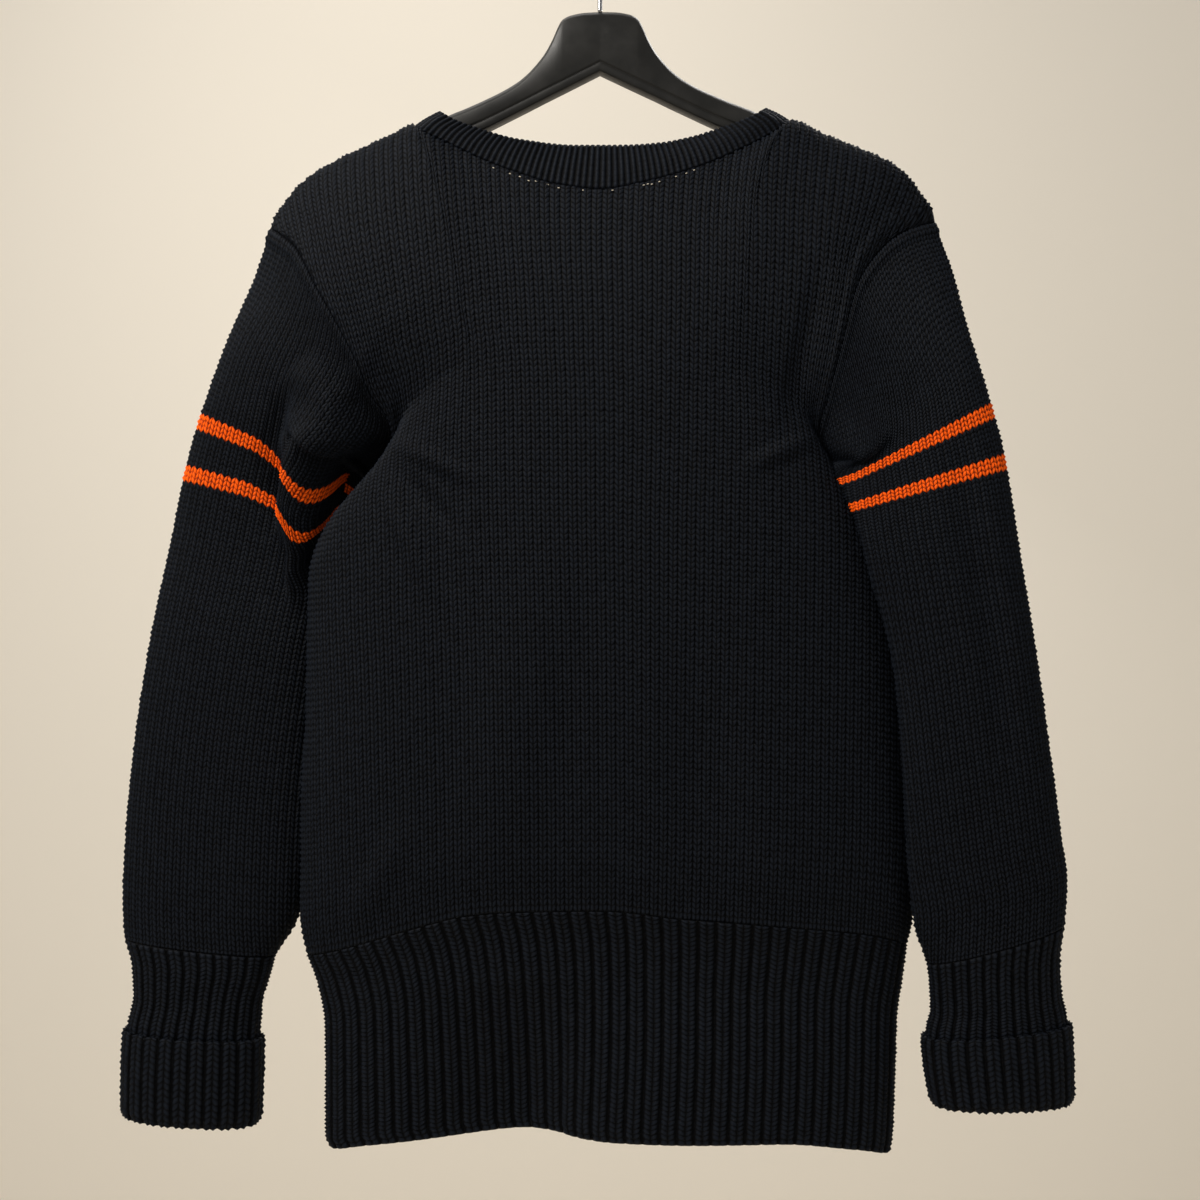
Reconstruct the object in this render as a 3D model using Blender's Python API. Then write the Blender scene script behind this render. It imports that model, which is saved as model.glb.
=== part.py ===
"""Varsity sweater of heavy worsted wool, hung by its shoulders on a flat moulded hanger.

The frame has +Z up and +X to the right as the back of the sweater is seen; the back faces -Y.
The origin is the inside top of the hanger's hook, where it rests on a rod.
Tables and sizes are in millimetres and become metres where a mesh is made.
"""

import math
from collections import namedtuple

import bmesh
import bpy
import numpy as np

# Driving sizes
MM = 0.001
WALL = 2.5
GAP = 0.3
RIB_HEIGHT = 1.2
UNDERARM = 0.69
PANEL_ROWS_BELOW = 12
PANEL_ROWS_ABOVE = 14
ROW_CROWDING = 1.4
COLUMN_CROWDING = 1.9
RIDGE_SHARPNESS = 12
RIDGE_ROUNDNESS = 0.5
FOLD_REACH = 4.0
SHOULDER_SPANS = 6
NECK_SPANS = 10
WELT_RIBS = 36
CUFF_RIBS = 21
RIB_PROFILE = ((0.0, 0.0), (0.3, 1.0), (0.7, 1.0))
NECK_RIBS_PER_SPAN = 6
NECK_ROWS = slice(-4, None)
NECK_TURN = 6.0
CROTCH_LEAN = 0.7
WELT_GAP = 0.45
NECK_GAP = 0.6
ARMHOLE_GAP = 0.45
LEFT_STEPS = (0, 3, 7, 12, 17, 21, 24, 27, 30, 34, 39, 46, 56, 70, 86, 102, 117, 128, 134)
RIGHT_STEPS = (0, 4, 9, 15, 22, 29, 36, 45, 57, 71, 87, 103, 118, 128, 134)
SLEEVE_SETTLE = 30
FOLD_START = 4
LENS = 2.4
SLEEVE_LENS = 2.2

# Hanger
HANGER_HALF_LENGTH = 196.0
HANGER_HALF_THICKNESS = 6.0
HANGER_TILT = 0.0175
HANGER_REST = 0.4
HANGER_END_START = 185.0
HANGER_END_DROP = 1.5
FOOT_CHAMFER = 1.0
HOOK_WIRE_RADIUS = 1.6
HOOK_INNER_RADIUS = 18.0
HOOK_SIDES = 8

# Side seam and armhole of the back: v runs from the welt seam (0) to the shoulder tip (1)
Edge = namedtuple("Edge", "v x z")
LEFT_EDGE = [
    Edge(0.00, -201, -715), Edge(0.05, -207, -688), Edge(0.12, -206, -649), Edge(0.20, -205.5, -608),
    Edge(0.30, -202, -553), Edge(0.40, -201, -499), Edge(0.48, -200, -456), Edge(0.52, -195, -436),
    Edge(0.56, -184, -418), Edge(0.60, -169, -404), Edge(0.64, -153, -387), Edge(0.69, -141, -366),
    Edge(0.72, -142, -352), Edge(0.76, -155, -332), Edge(0.79, -160, -318), Edge(0.85, -175, -288),
    Edge(0.90, -191, -260), Edge(0.95, -206, -233), Edge(1.00, -227, -215),
]
RIGHT_EDGE = [
    Edge(0.00, 210.5, -708), Edge(0.05, 215, -688), Edge(0.12, 216, -645), Edge(0.20, 214, -605),
    Edge(0.30, 211, -552), Edge(0.40, 206, -502), Edge(0.48, 200, -466), Edge(0.54, 189, -438),
    Edge(0.60, 174, -412), Edge(0.65, 159, -391), Edge(0.69, 149.5, -373), Edge(0.72, 149, -361),
    Edge(0.76, 152, -343), Edge(0.79, 156.5, -323), Edge(0.84, 164, -292), Edge(0.89, 172, -261),
    Edge(0.94, 190, -234), Edge(0.97, 208, -220), Edge(1.00, 231, -211),
]
# The same edges as they would lie without the armpit folds
Calm = namedtuple("Calm", "v left right")
CALM_EDGE = [
    Calm(0.00, -201, 210.5), Calm(0.12, -206, 216), Calm(0.30, -202, 211), Calm(0.50, -198, 206),
    Calm(0.70, -194, 200), Calm(0.85, -200, 206), Calm(1.00, -227, 231),
]

# How far the armhole stands off the middle plane, from the underarm (0) to the shoulder tip (1)
Stand = namedtuple("Stand", "t depth")
ARMHOLE_DEPTH = [
    Stand(0.00, 0.0), Stand(0.10, 11), Stand(0.22, 22), Stand(0.35, 29), Stand(0.52, 30),
    Stand(0.70, 25), Stand(0.85, 16), Stand(0.95, 7), Stand(1.00, 0.0),
]

# Shoulder ridge from tip to tip, and where the neckband joins the back and the front
Line = namedtuple("Line", "x z depth")
SHOULDER = [
    Line(-227, -215, 0), Line(-224, -208, 0), Line(-218, -199, 0), Line(-210.5, -189, 0),
    Line(-199, -179, 0), Line(-183.5, -170, 0), Line(-164, -160.5, 0), Line(-145, -152, 0),
    Line(-128, -144.5, 0), Line(131, -141, 0), Line(155, -151, 0), Line(174, -158.5, 0),
    Line(193.5, -166.5, 0), Line(205, -173, 0), Line(214.5, -182, 0), Line(223, -194, 0),
    Line(229.5, -204, 0), Line(231, -211, 0),
]
NECK_JOIN_BACK = [
    Line(-128, -144.5, 0), Line(-122, -151, 9.8), Line(-105, -160, 14), Line(-76, -175, 19),
    Line(-54, -184, 22), Line(-32, -191, 23), Line(0, -195, 23), Line(30, -190, 23),
    Line(67, -178.5, 20), Line(100, -163, 14.5), Line(125, -148, 9.8), Line(131, -141, 0),
]
NECK_JOIN_FRONT = [
    Line(-128, -144.5, 0), Line(-122, -152, 10), Line(-106, -184, 16), Line(-80, -215, 22),
    Line(-42, -240, 26), Line(0, -249, 27), Line(44, -240, 26), Line(84, -213, 22),
    Line(110, -181, 16), Line(125, -149, 10), Line(131, -141, 0),
]
NECK_TOP_BACK = [
    Line(-110.5, -134.5, 0), Line(-105.5, -140, 9.6), Line(-83, -150, 12), Line(-54, -158.5, 14.5),
    Line(-16, -163, 16), Line(14, -163, 16), Line(41, -161, 15), Line(60.5, -157, 14),
    Line(80, -150.5, 12), Line(109, -138, 9.6), Line(114, -132.5, 0),
]
NECK_TOP_FRONT = [
    Line(-110.5, -134.5, 0), Line(-105.5, -141, 10), Line(-92, -168, 14), Line(-66, -194, 18),
    Line(-34, -213, 21), Line(0, -219, 22), Line(38, -212, 21), Line(70, -193, 18),
    Line(96, -165, 14), Line(109, -139, 10), Line(114, -132.5, 0),
]

# Arched seam between body and welt, and the welt's outline from bottom (0) to seam (1)
Arch = namedtuple("Arch", "x z")
WELT_SEAM = [
    Arch(-201, -715), Arch(-190, -712), Arch(-164, -704), Arch(-132, -693.5), Arch(-112, -687.5),
    Arch(-90, -682), Arch(-60, -679), Arch(0, -678), Arch(58, -684), Arch(115, -689), Arch(174, -696),
    Arch(198, -702), Arch(210.5, -708),
]
WELT_BOTTOM = [
    Arch(-185, -848), Arch(-160, -842), Arch(-107, -836), Arch(-49, -832), Arch(0, -834),
    Arch(60, -835), Arch(120, -836), Arch(175, -844), Arch(199, -851),
]
Welt = namedtuple("Welt", "w left right depth")
WELT = [
    Welt(0.00, -185, 199, 31), Welt(0.06, -188.5, 200.5, 32), Welt(0.35, -188.5, 202.5, 32),
    Welt(0.65, -189, 204, 31), Welt(0.85, -194, 208, 33), Welt(1.00, -201, 210.5, 38),
]
# Rows of the welt and the share of the rib height that each row gets
Lift = namedtuple("Lift", "w ribs")
WELT_LIFTS = [Lift(0.0, 1.0), Lift(0.12, 1.0), Lift(0.5, 1.0), Lift(0.85, 1.0), Lift(1.0, 0.6)]
NECK_LIFTS = [Lift(0.0, 0.0), Lift(0.5, 0.8), Lift(1.0, 0.8)]
# Where the bottom of the back welt is pushed in, as a share of its full depth
Push = namedtuple("Push", "x share")
WELT_PUSH = [
    Push(-190, 1.0), Push(-137, 0.8), Push(-85, 0.45), Push(-50, 0.3), Push(-32, 0.45),
    Push(-14, 0.8), Push(10, 1.02), Push(60, 1.12), Push(130, 1.08), Push(200, 1.0),
]
PUSH_FADE = 0.7
PUSH_EASE = 1.5
WELT_MEASURED_AT = 0.7
FINE_STEPS = 600

# Half depth of the body from the welt seam (0) to the shoulders (1)
Depth = namedtuple("Depth", "v depth")
BODY_DEPTH = [Depth(0.0, 38), Depth(0.08, 42), Depth(0.35, 40), Depth(0.7, 38), Depth(1.0, 33)]

# Sleeve sections by knitted row from the armhole: the outer and inner ends of each flattened ring,
# the place of its middle plane and half its depth
Sleeve = namedtuple("Sleeve", "row outer_x outer_z inner_x inner_z y depth")
LEFT_SLEEVE = [
    Sleeve(0, -227, -215, -141, -366, 0, 26), Sleeve(12, -242, -254, -153, -369, 7, 25),
    Sleeve(24, -256, -285, -170, -371, 9, 23), Sleeve(35, -272, -325, -179, -378, 12, 21),
    Sleeve(46, -289, -373, -183, -405, 18, 18), Sleeve(61, -302, -430, -191, -450, 22, 18),
    Sleeve(80, -316, -500, -194, -515, 20, 19), Sleeve(98, -326.5, -570, -198, -583, 19, 19),
    Sleeve(115, -332, -633, -200, -645, 17, 18), Sleeve(127, -333.5, -681, -212, -694, 15, 17),
    Sleeve(134, -332, -708, -228, -720, 15, 17),
]
RIGHT_SLEEVE = [
    Sleeve(0, 231, -211, 149.5, -373, 0, 26), Sleeve(11, 241, -248, 159, -377, -9, 23),
    Sleeve(20, 247.5, -283, 165, -379, -16, 22), Sleeve(35, 260.5, -335, 167, -387, -24, 21),
    Sleeve(44.5, 269.5, -373, 169, -406, -28, 20), Sleeve(59, 278, -431, 177, -441, -31, 20),
    Sleeve(78, 289, -499, 197, -520, -31, 20), Sleeve(97, 299, -567, 203, -590, -30, 19),
    Sleeve(114, 308, -628, 207, -652, -27, 18), Sleeve(125, 313, -662, 212, -690, -24, 18),
    Sleeve(134, 312, -690, 221, -716, -22, 18),
]
# Swellings and troughs laid on a sleeve: middle row and its reach before and after it, middle of
# the turn (0 underarm, 0.25 back, 0.5 outer edge) and its reach, and the shift at the middle
Fold = namedtuple("Fold", "row before after turn reach x y z")
LEFT_SLEEVE_FOLDS = [
    Fold(25, 20, 5, 0.14, 0.10, -4, -15, -15),
    Fold(34, 22, 26, 0.215, 0.055, 4, 8, -10),
    Fold(38, 9, 12, 0.07, 0.08, 3, 8, 0),
    Fold(22, 18, 12, 0.86, 0.10, -2, 10, -8),
]
RIGHT_SLEEVE_FOLDS = [
    Fold(22, 20, 12, 0.12, 0.10, 2, -10, -6),
    Fold(70, 40, 45, 0.30, 0.06, 0, 4, 0),
    Fold(22, 18, 12, 0.88, 0.10, 2, 8, -8),
]
# Folds of the body panels: middle, reach along and across, turn in degrees, and height
Crease = namedtuple("Crease", "x z along across turn height")
BACK_CREASES = [
    Crease(-112, -378, 42, 9, -28, 4.0), Crease(-118, -402, 46, 10, -48, -3.5),
    Crease(-128, -432, 52, 10, -66, 3.5), Crease(122, -372, 36, 9, 24, 3.0),
    Crease(138, -300, 70, 13, 78, -5.0), Crease(-60, -560, 150, 40, 84, 3.5),
    Crease(70, -600, 130, 36, 95, -3.0), Crease(-150, -660, 60, 16, 60, 3.0),
]
FRONT_CREASES = [
    Crease(-108, -372, 44, 10, -30, 4.0), Crease(116, -376, 44, 10, 30, 4.0),
    Crease(-124, -424, 50, 10, -62, -3.5), Crease(132, -428, 50, 10, 62, -3.5),
    Crease(30, -520, 150, 38, 93, 3.5), Crease(-80, -590, 120, 34, 85, -3.0),
]

# Cuff outlines from the sleeve seam (0) to the folded bottom (1), and the turned-back band
Cuff = namedtuple("Cuff", "w outer_x outer_z inner_x inner_z y depth")
LEFT_CUFF = [
    Cuff(0.0, -332, -708, -228, -720, 15, 17), Cuff(0.15, -327, -727, -231, -732, 15, 17),
    Cuff(0.35, -326, -748, -237, -752, 15, 16), Cuff(0.58, -330, -770, -239, -776, 15, 17),
    Cuff(1.0, -332, -832, -241, -838, 15, 18),
]
RIGHT_CUFF = [
    Cuff(0.0, 312, -690, 221, -716, -22, 18), Cuff(0.15, 309.5, -712, 223, -730, -21, 17),
    Cuff(0.35, 311, -736, 224, -748, -20, 16), Cuff(0.58, 315, -756, 221, -765, -19, 17),
    Cuff(1.0, 317, -811, 227, -813, -18, 18),
]
BAND_START = 0.60
BAND_SWELL = 3.6
SLIT = 0.5
BAND = WALL + SLIT
# Rings of the cuff from the seam down its outside, up and over the turned-back band, and up its inside
CuffRing = namedtuple("CuffRing", "w swell ribbed drop")
CUFF_RINGS = [
    CuffRing(0.0, 0.0, True, GAP), CuffRing(0.2, 0.0, True, 0.0), CuffRing(0.52, 0.0, True, 0.0),
    CuffRing(0.57, 0.0, False, 0.0), CuffRing(0.93, 0.0, False, 0.0), CuffRing(0.93, SLIT, False, 0.0),
    CuffRing(BAND_START, SLIT, False, 0.0), CuffRing(BAND_START, BAND, True, 0.0),
    CuffRing(0.8, BAND_SWELL, True, 0.0), CuffRing(0.96, BAND, True, 0.0), CuffRing(1.0, 0.0, False, 0.0),
    CuffRing(0.96, -WALL, False, 0.0), CuffRing(0.52, -WALL, False, 0.0), CuffRing(0.2, -WALL, False, 0.0),
    CuffRing(0.0, -WALL, False, GAP),
]

# Half of the hanger's outline: top and underside by distance from the middle
Arm = namedtuple("Arm", "x top bottom")
HANGER = [
    Arm(0, -66, -108.5), Arm(10, -66.3, -113.4), Arm(20, -68, -118.3), Arm(26, -71, -121.2),
    Arm(28.5, -75, -122.4), Arm(33, -85, -124.6), Arm(38, -94, -127), Arm(43, -100.5, -129.5),
    Arm(50, -108, -133), Arm(57, -113.6, -136.4), Arm(67, -119.5, -141.3), Arm(79, -125.2, -147),
    Arm(92, -130.8, -152.6), Arm(105, -136, -158.2), Arm(118, -144, -163.6), Arm(129, -150, -168.3),
    Arm(147, -153, -175), Arm(165, -160.5, -181.6), Arm(180, -168, -187), Arm(190, -173, -189.5),
    Arm(HANGER_HALF_LENGTH, -179, -188.5),
]
# Cross-section of the hanger: across as a share of half its thickness, and drop below the top edge
ARM_SECTION = ((0.0, 0.0), (0.34, 0.9), (0.67, 2.6), (1.0, 5.2))
# Hook's centre line below the loop: distance from the middle and height
HOOK_STEM = ((0.0, -65.6), (0.0, -58.0), (0.0, -51.0), (3.0, -43.5), (9.0, -36.5))
HOOK_TURN = (-35.0, 215.0)
HOOK_STEPS = 22

# Colours and finish
Finish = namedtuple("Finish", "colour roughness metallic")
WOOL = Finish((0.010, 0.012, 0.016, 1.0), 0.95, 0.0)
HANGER_PLASTIC = Finish((0.024, 0.024, 0.023, 1.0), 0.5, 0.0)
HOOK_STEEL = Finish((0.35, 0.35, 0.36, 1.0), 0.3, 1.0)


def column(rows, name):
    """One named column of a table as an array."""
    return np.array([getattr(row, name) for row in rows], float)


def curve(keys, values, at):
    """Cubic through a table that never swings past its rows: harmonic mean slopes, none at turns."""
    at = np.clip(at, keys[0], keys[-1])
    span = np.diff(keys)
    rise = np.diff(values) / span
    slope = np.zeros(len(keys))
    slope[0], slope[-1] = rise[0], rise[-1]
    same = rise[:-1] * rise[1:] > 0
    product = np.where(same, rise[:-1] * rise[1:], 0.0)
    total = np.where(same, rise[:-1] + rise[1:], 1.0)
    slope[1:-1] = 2 * product / total
    i = np.clip(np.searchsorted(keys, at, side="right") - 1, 0, len(span) - 1)
    t = (at - keys[i]) / span[i]
    start = (1 + 2 * t) * (1 - t) ** 2 * values[i] + t * (1 - t) ** 2 * span[i] * slope[i]
    end = t * t * (3 - 2 * t) * values[i + 1] - t * t * (1 - t) * span[i] * slope[i + 1]
    return start + end


def read(rows, key, name, at):
    """Value of one column at places along another."""
    return curve(column(rows, key), column(rows, name), at)


def lens(u, power=LENS):
    """Half depth of a flattened round section, 1 in the middle and 0 at both edges."""
    return np.clip(1 - np.abs(u) ** power, 0, None) ** (1 / power)


def hump(distance, reach):
    """Soft bump, 1 at the middle and 0 past its reach."""
    t = np.clip(np.abs(distance) / reach, 0, 1)
    return (1 - t * t) ** 2


def across(u):
    """Share of the way from the left edge to the right edge."""
    return (u + 1) / 2


def neck_edges():
    """Places across the panels, -1 to 1, where the shoulder ridge meets the neckband."""
    left, right = SHOULDER[0].x, SHOULDER[-1].x
    return [2 * (join.x - left) / (right - left) - 1 for join in (NECK_JOIN_BACK[0], NECK_JOIN_BACK[-1])]


def top_line(side, u):
    """Top edge of a panel: shoulder ridge, neckband join, shoulder ridge."""
    x = SHOULDER[0].x + (SHOULDER[-1].x - SHOULDER[0].x) * across(u)
    join = NECK_JOIN_BACK if side < 0 else NECK_JOIN_FRONT
    at_neck = (x > join[0].x) & (x < join[-1].x)
    z = np.where(at_neck, read(join, "x", "z", x), read(SHOULDER, "x", "z", x))
    depth = np.where(at_neck, read(join, "x", "depth", x), 0.0)
    return x, z, depth, at_neck


def creases(side, x, z):
    """Height of all long soft folds of a panel at a place: a ridge or trough that fades at its ends."""
    height = np.zeros_like(x)
    for fold in BACK_CREASES if side < 0 else FRONT_CREASES:
        turn = math.radians(fold.turn)
        along = (x - fold.x) * math.cos(turn) + (z - fold.z) * math.sin(turn)
        off = (z - fold.z) * math.cos(turn) - (x - fold.x) * math.sin(turn)
        height += fold.height * hump(along, fold.along) * hump(off, fold.across)
    return height


def panel(side, u, v):
    """Outer face of the back (side -1) or front (side 1): u across from -1 to 1, v up from 0 to 1.

    Calm edges give an even spread of columns; the true edges pull the columns near them.  The
    depth is a flattened round section that closes along the side seams and the shoulder ridge
    and stands open at the armholes, the neck and the welt seam.
    """
    top_x, top_z, top_depth, at_neck = top_line(side, u)
    share = across(u)
    left_x, right_x = read(CALM_EDGE, "v", "left", v), read(CALM_EDGE, "v", "right", v)
    x = left_x + (right_x - left_x) * share
    bottom_x = WELT_SEAM[0].x + (WELT_SEAM[-1].x - WELT_SEAM[0].x) * share
    seam_z = read(WELT_SEAM, "x", "z", bottom_x)
    z = seam_z + (top_z - seam_z) * v
    for edge, calm, near in ((LEFT_EDGE, left_x, 1 - share), (RIGHT_EDGE, right_x, share)):
        pull = np.clip(near, 0, 1) ** FOLD_REACH
        edge_z = edge[0].z + (edge[-1].z - edge[0].z) * v
        x = x + (read(edge, "v", "x", v) - calm) * pull
        z = z + (read(edge, "v", "z", v) - edge_z) * pull
    armhole = np.clip((v - UNDERARM) / (1 - UNDERARM), 0, 1)
    edge_depth = read(ARMHOLE_DEPTH, "t", "depth", armhole)
    closing = np.clip(1 - v ** RIDGE_SHARPNESS, 0, 1) ** np.where(at_neck, 1.0, RIDGE_ROUNDNESS)
    middle = top_depth + (read(BODY_DEPTH, "v", "depth", v) - top_depth) * closing
    middle = middle + creases(side, x, z) * closing
    depth = np.minimum(edge_depth, middle) + np.clip(middle - edge_depth, 0, None) * lens(u)
    return np.stack([x, side * (depth + GAP / 2), z], -1)


def bottom_columns():
    """Places of the panels' columns along the welt seam."""
    return WELT_SEAM[0].x + (WELT_SEAM[-1].x - WELT_SEAM[0].x) * across(panel_columns())


def welt(side, u, w):
    """Outer face of the ribbed welt: u across, w up from the bottom edge (0) to the seam (1)."""
    share = across(u)
    left, right = read(WELT, "w", "left", w), read(WELT, "w", "right", w)
    x = left + (right - left) * share
    seam_x = WELT_SEAM[0].x + (WELT_SEAM[-1].x - WELT_SEAM[0].x) * share
    low_x = WELT_BOTTOM[0].x + (WELT_BOTTOM[-1].x - WELT_BOTTOM[0].x) * share
    sewn_x = bottom_columns()
    seam_z = np.interp(seam_x, sewn_x, read(WELT_SEAM, "x", "z", sewn_x)) - WELT_GAP
    low_z = read(WELT_BOTTOM, "x", "z", low_x)
    z = low_z + (seam_z - low_z) * w
    depth = read(WELT, "w", "depth", w) * lens(u)
    if side < 0:
        push = read(WELT_PUSH, "x", "share", low_x)
        depth = depth * (push + (1 - push) * np.clip(w / PUSH_FADE, 0, 1) ** PUSH_EASE)
    return np.stack([x, side * (depth + GAP / 2), z], -1)


def unit(vectors):
    """Vectors brought to length one."""
    return vectors / np.maximum(np.linalg.norm(vectors, axis=-1, keepdims=True), 1e-12)


def normals(points, outward, closed=False):
    """Directions square to a surface, from its differences along both sides of the grid."""
    if closed:
        wrapped = np.concatenate([points[:, -1:], points, points[:, :1]], 1)
        round_way = (wrapped[:, 2:] - wrapped[:, :-2]) / 2
    else:
        round_way = np.gradient(points, axis=1)
    up_way = np.gradient(points, axis=0)
    square = unit(np.cross(round_way, up_way))
    middle = points.reshape(-1, 3).mean(0)
    facing = np.sum(square * (outward if outward is not None else points - middle))
    return square if facing > 0 else -square


def flatten(vectors, axis):
    """Directions with no share along one axis, as on a seam that lies square to it."""
    flat = vectors.copy()
    flat[..., axis] = 0
    return unit(flat)


def seam_shift(along, square, away):
    """Step of one seam gap square to a seam's rim, to the side that points away."""
    step = unit(np.cross(along, square))
    towards = np.sign(np.sum(step * away, axis=-1, keepdims=True))
    return step * towards * GAP


def panel_columns():
    """Columns across a panel: close together at the side edges, even across the neck."""
    left, right = neck_edges()
    steps = (np.arange(SHOULDER_SPANS + 1) / SHOULDER_SPANS) ** COLUMN_CROWDING
    start = -1 + (left + 1) * steps
    end = (1 - (1 - right) * steps)[::-1]
    turn = 2 * NECK_TURN / (SHOULDER[-1].x - SHOULDER[0].x)
    middle = np.linspace(left + turn, right - turn, NECK_SPANS - 1)
    return np.concatenate([start, middle, end])


def panel_rows():
    """Rows up a panel: even below the underarm, closer towards the shoulder ridge above it."""
    below = np.linspace(0, UNDERARM, PANEL_ROWS_BELOW + 1)[:-1]
    steps = 1 - (1 - np.arange(PANEL_ROWS_ABOVE + 1) / PANEL_ROWS_ABOVE) ** ROW_CROWDING
    return np.concatenate([below, UNDERARM + (1 - UNDERARM) * steps])


def panel_faces(side):
    """Outer points of a panel and the directions square to them, shared by what is sewn to it."""
    u, v = np.meshgrid(panel_columns(), panel_rows())
    points = panel(side, u, v)
    square = normals(points, np.array([0.0, side, 0.0]))
    side_seam = slice(0, PANEL_ROWS_BELOW + 1)
    square[0] = flatten(square[0], 2)
    for edge in (0, -1):
        square[side_seam, edge] = flatten(square[side_seam, edge], 1)
        square[-1, edge] = flatten(square[-1, edge], 1)
    ridge = np.r_[0:SHOULDER_SPANS + 1, len(u[0]) - SHOULDER_SPANS - 1:len(u[0])]
    square[-1, ridge] = flatten(square[-1, ridge], 1)
    for beside in (SHOULDER_SPANS + 1, SHOULDER_SPANS + NECK_SPANS - 1):
        square[NECK_ROWS, beside] = unit(square[NECK_ROWS, beside - 1] + square[NECK_ROWS, beside + 1])
    for edge, hand in ((0, -1), (-1, 1)):
        square[PANEL_ROWS_BELOW, edge] = unit(np.array([hand * CROTCH_LEAN, 0.0, -1.0]))
    return points, square


def bridge(first, second, closed):
    """Triangles between two rows of vertex numbers; one row may have several spans to the other's one."""
    spans = [len(row) if closed else len(row) - 1 for row in (first, second)]
    if spans[0] < spans[1]:
        return [face[::-1] for face in bridge(second, first, closed)]
    step = spans[0] // spans[1]
    faces = []
    for span in range(spans[1]):
        near, far = second[span], second[(span + 1) % len(second)]
        fine = [first[(span * step + k) % len(first)] for k in range(step + 1)]
        middle = (step + 1) // 2
        faces += [(fine[k], fine[k + 1], near) for k in range(middle)]
        faces.append((fine[middle], far, near))
        faces += [(fine[k], fine[k + 1], far) for k in range(middle, step)]
    return faces


def finish(name, points, faces, look, sharp=50):
    """A named object from points in millimetres, with outward faces, smooth shading and its material."""
    mesh = bpy.data.meshes.new(name)
    mesh.from_pydata((np.asarray(points) * MM).tolist(), [], [tuple(map(int, face)) for face in faces])
    work = bmesh.new()
    work.from_mesh(mesh)
    bmesh.ops.recalc_face_normals(work, faces=work.faces)
    work.to_mesh(mesh)
    work.free()
    mesh.shade_smooth()
    mesh.set_sharp_from_angle(angle=math.radians(sharp))
    mesh.materials.append(material(name, look))
    piece = bpy.data.objects.new(name, mesh)
    bpy.context.scene.collection.objects.link(piece)
    return piece


def material(name, look):
    """Principled material with the piece's colour and finish."""
    made = bpy.data.materials.new(name)
    made.use_nodes = True
    shader = made.node_tree.nodes["Principled BSDF"]
    shader.inputs["Base Color"].default_value = look.colour
    shader.inputs["Roughness"].default_value = look.roughness
    shader.inputs["Metallic"].default_value = look.metallic
    return made


def loft(name, rings, closed, look):
    """Closed body from rings that each join the next and the last the first; open rings get end faces."""
    points, numbers = [], []
    for ring in rings:
        numbers.append(np.arange(len(ring)) + sum(len(row) for row in points))
        points.append(np.asarray(ring))
    faces = []
    for here, after in zip(numbers, numbers[1:] + numbers[:1]):
        faces += bridge(list(here), list(after), closed)
    return finish(name, np.concatenate(points), faces, look)


def wall(name, outer, inner, look, closed=False, side=1):
    """Cloth wall between an outer and an inner grid; an open one is rimmed on all four sides.

    The side rims of a back (side -1) and a front piece are split into triangles the same way as
    the rim of the sleeve that is sewn to them.
    """
    count = outer.shape[0] * outer.shape[1]
    out_ids = np.arange(count).reshape(outer.shape[:2])
    in_ids = count + np.arange(inner.shape[0] * inner.shape[1]).reshape(inner.shape[:2])
    faces = []
    for grid, flip in ((out_ids, False), (in_ids, True)):
        for low, high in zip(grid[:-1], grid[1:]):
            made = bridge(list(low), list(high), closed)
            faces += [face[::-1] for face in made] if flip else made
    faces += bridge(list(in_ids[0]), list(out_ids[0]), closed)
    faces += bridge(list(out_ids[-1]), list(in_ids[-1]), closed)
    if not closed:
        first, second = (in_ids, out_ids) if side < 0 else (out_ids, in_ids)
        for edge in (0, -1):
            faces += bridge(list(first[:, edge]), list(second[:, edge]), False)
    points = np.concatenate([outer.reshape(-1, 3), inner.reshape(-1, 3)])
    return finish(name, points, faces, look)


def make_panel(name, side):
    """Front or back of the body."""
    points, square = panel_faces(side)
    wall(name, points, points - WALL * square, WOOL, side=side)


def rib_places(ribs):
    """Places along a ribbed edge, 0 to 1, and how far each is raised: a narrow trough, then a flat rib."""
    places = [(rib + start) / ribs for rib in range(ribs) for start, _ in RIB_PROFILE]
    raised = [height for _ in range(ribs) for _, height in RIB_PROFILE]
    return np.array(places), np.array(raised)


def even_columns(side, places):
    """Columns across the welt at even lengths along its middle section."""
    fine = np.sin(np.linspace(-math.pi / 2, math.pi / 2, FINE_STEPS))
    section = welt(side, fine, np.full_like(fine, WELT_MEASURED_AT))
    length = np.concatenate([[0], np.cumsum(np.linalg.norm(np.diff(section, axis=0), axis=1))])
    return np.interp(places * length[-1], length, fine)


def make_welt(name, side):
    """Ribbed welt under the back or the front; its ribs are raised on the outside alone."""
    places, raised = rib_places(WELT_RIBS)
    places, raised = np.append(places, 1.0), np.append(raised, 0.0)
    u, w = np.meshgrid(even_columns(side, places), column(WELT_LIFTS, "w"))
    points = welt(side, u, w)
    square = normals(points, np.array([0.0, side, 0.0]))
    square[-1] = flatten(square[-1], 2)
    for edge in (0, -1):
        square[:, edge] = flatten(square[:, edge], 1)
    step = len(RIB_PROFILE)
    inner = (points - WALL * square)[:, ::step]
    raised = RIB_HEIGHT * column(WELT_LIFTS, "ribs")[:, None] * raised
    wall(name, points + square * raised[..., None], inner, WOOL)


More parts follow.
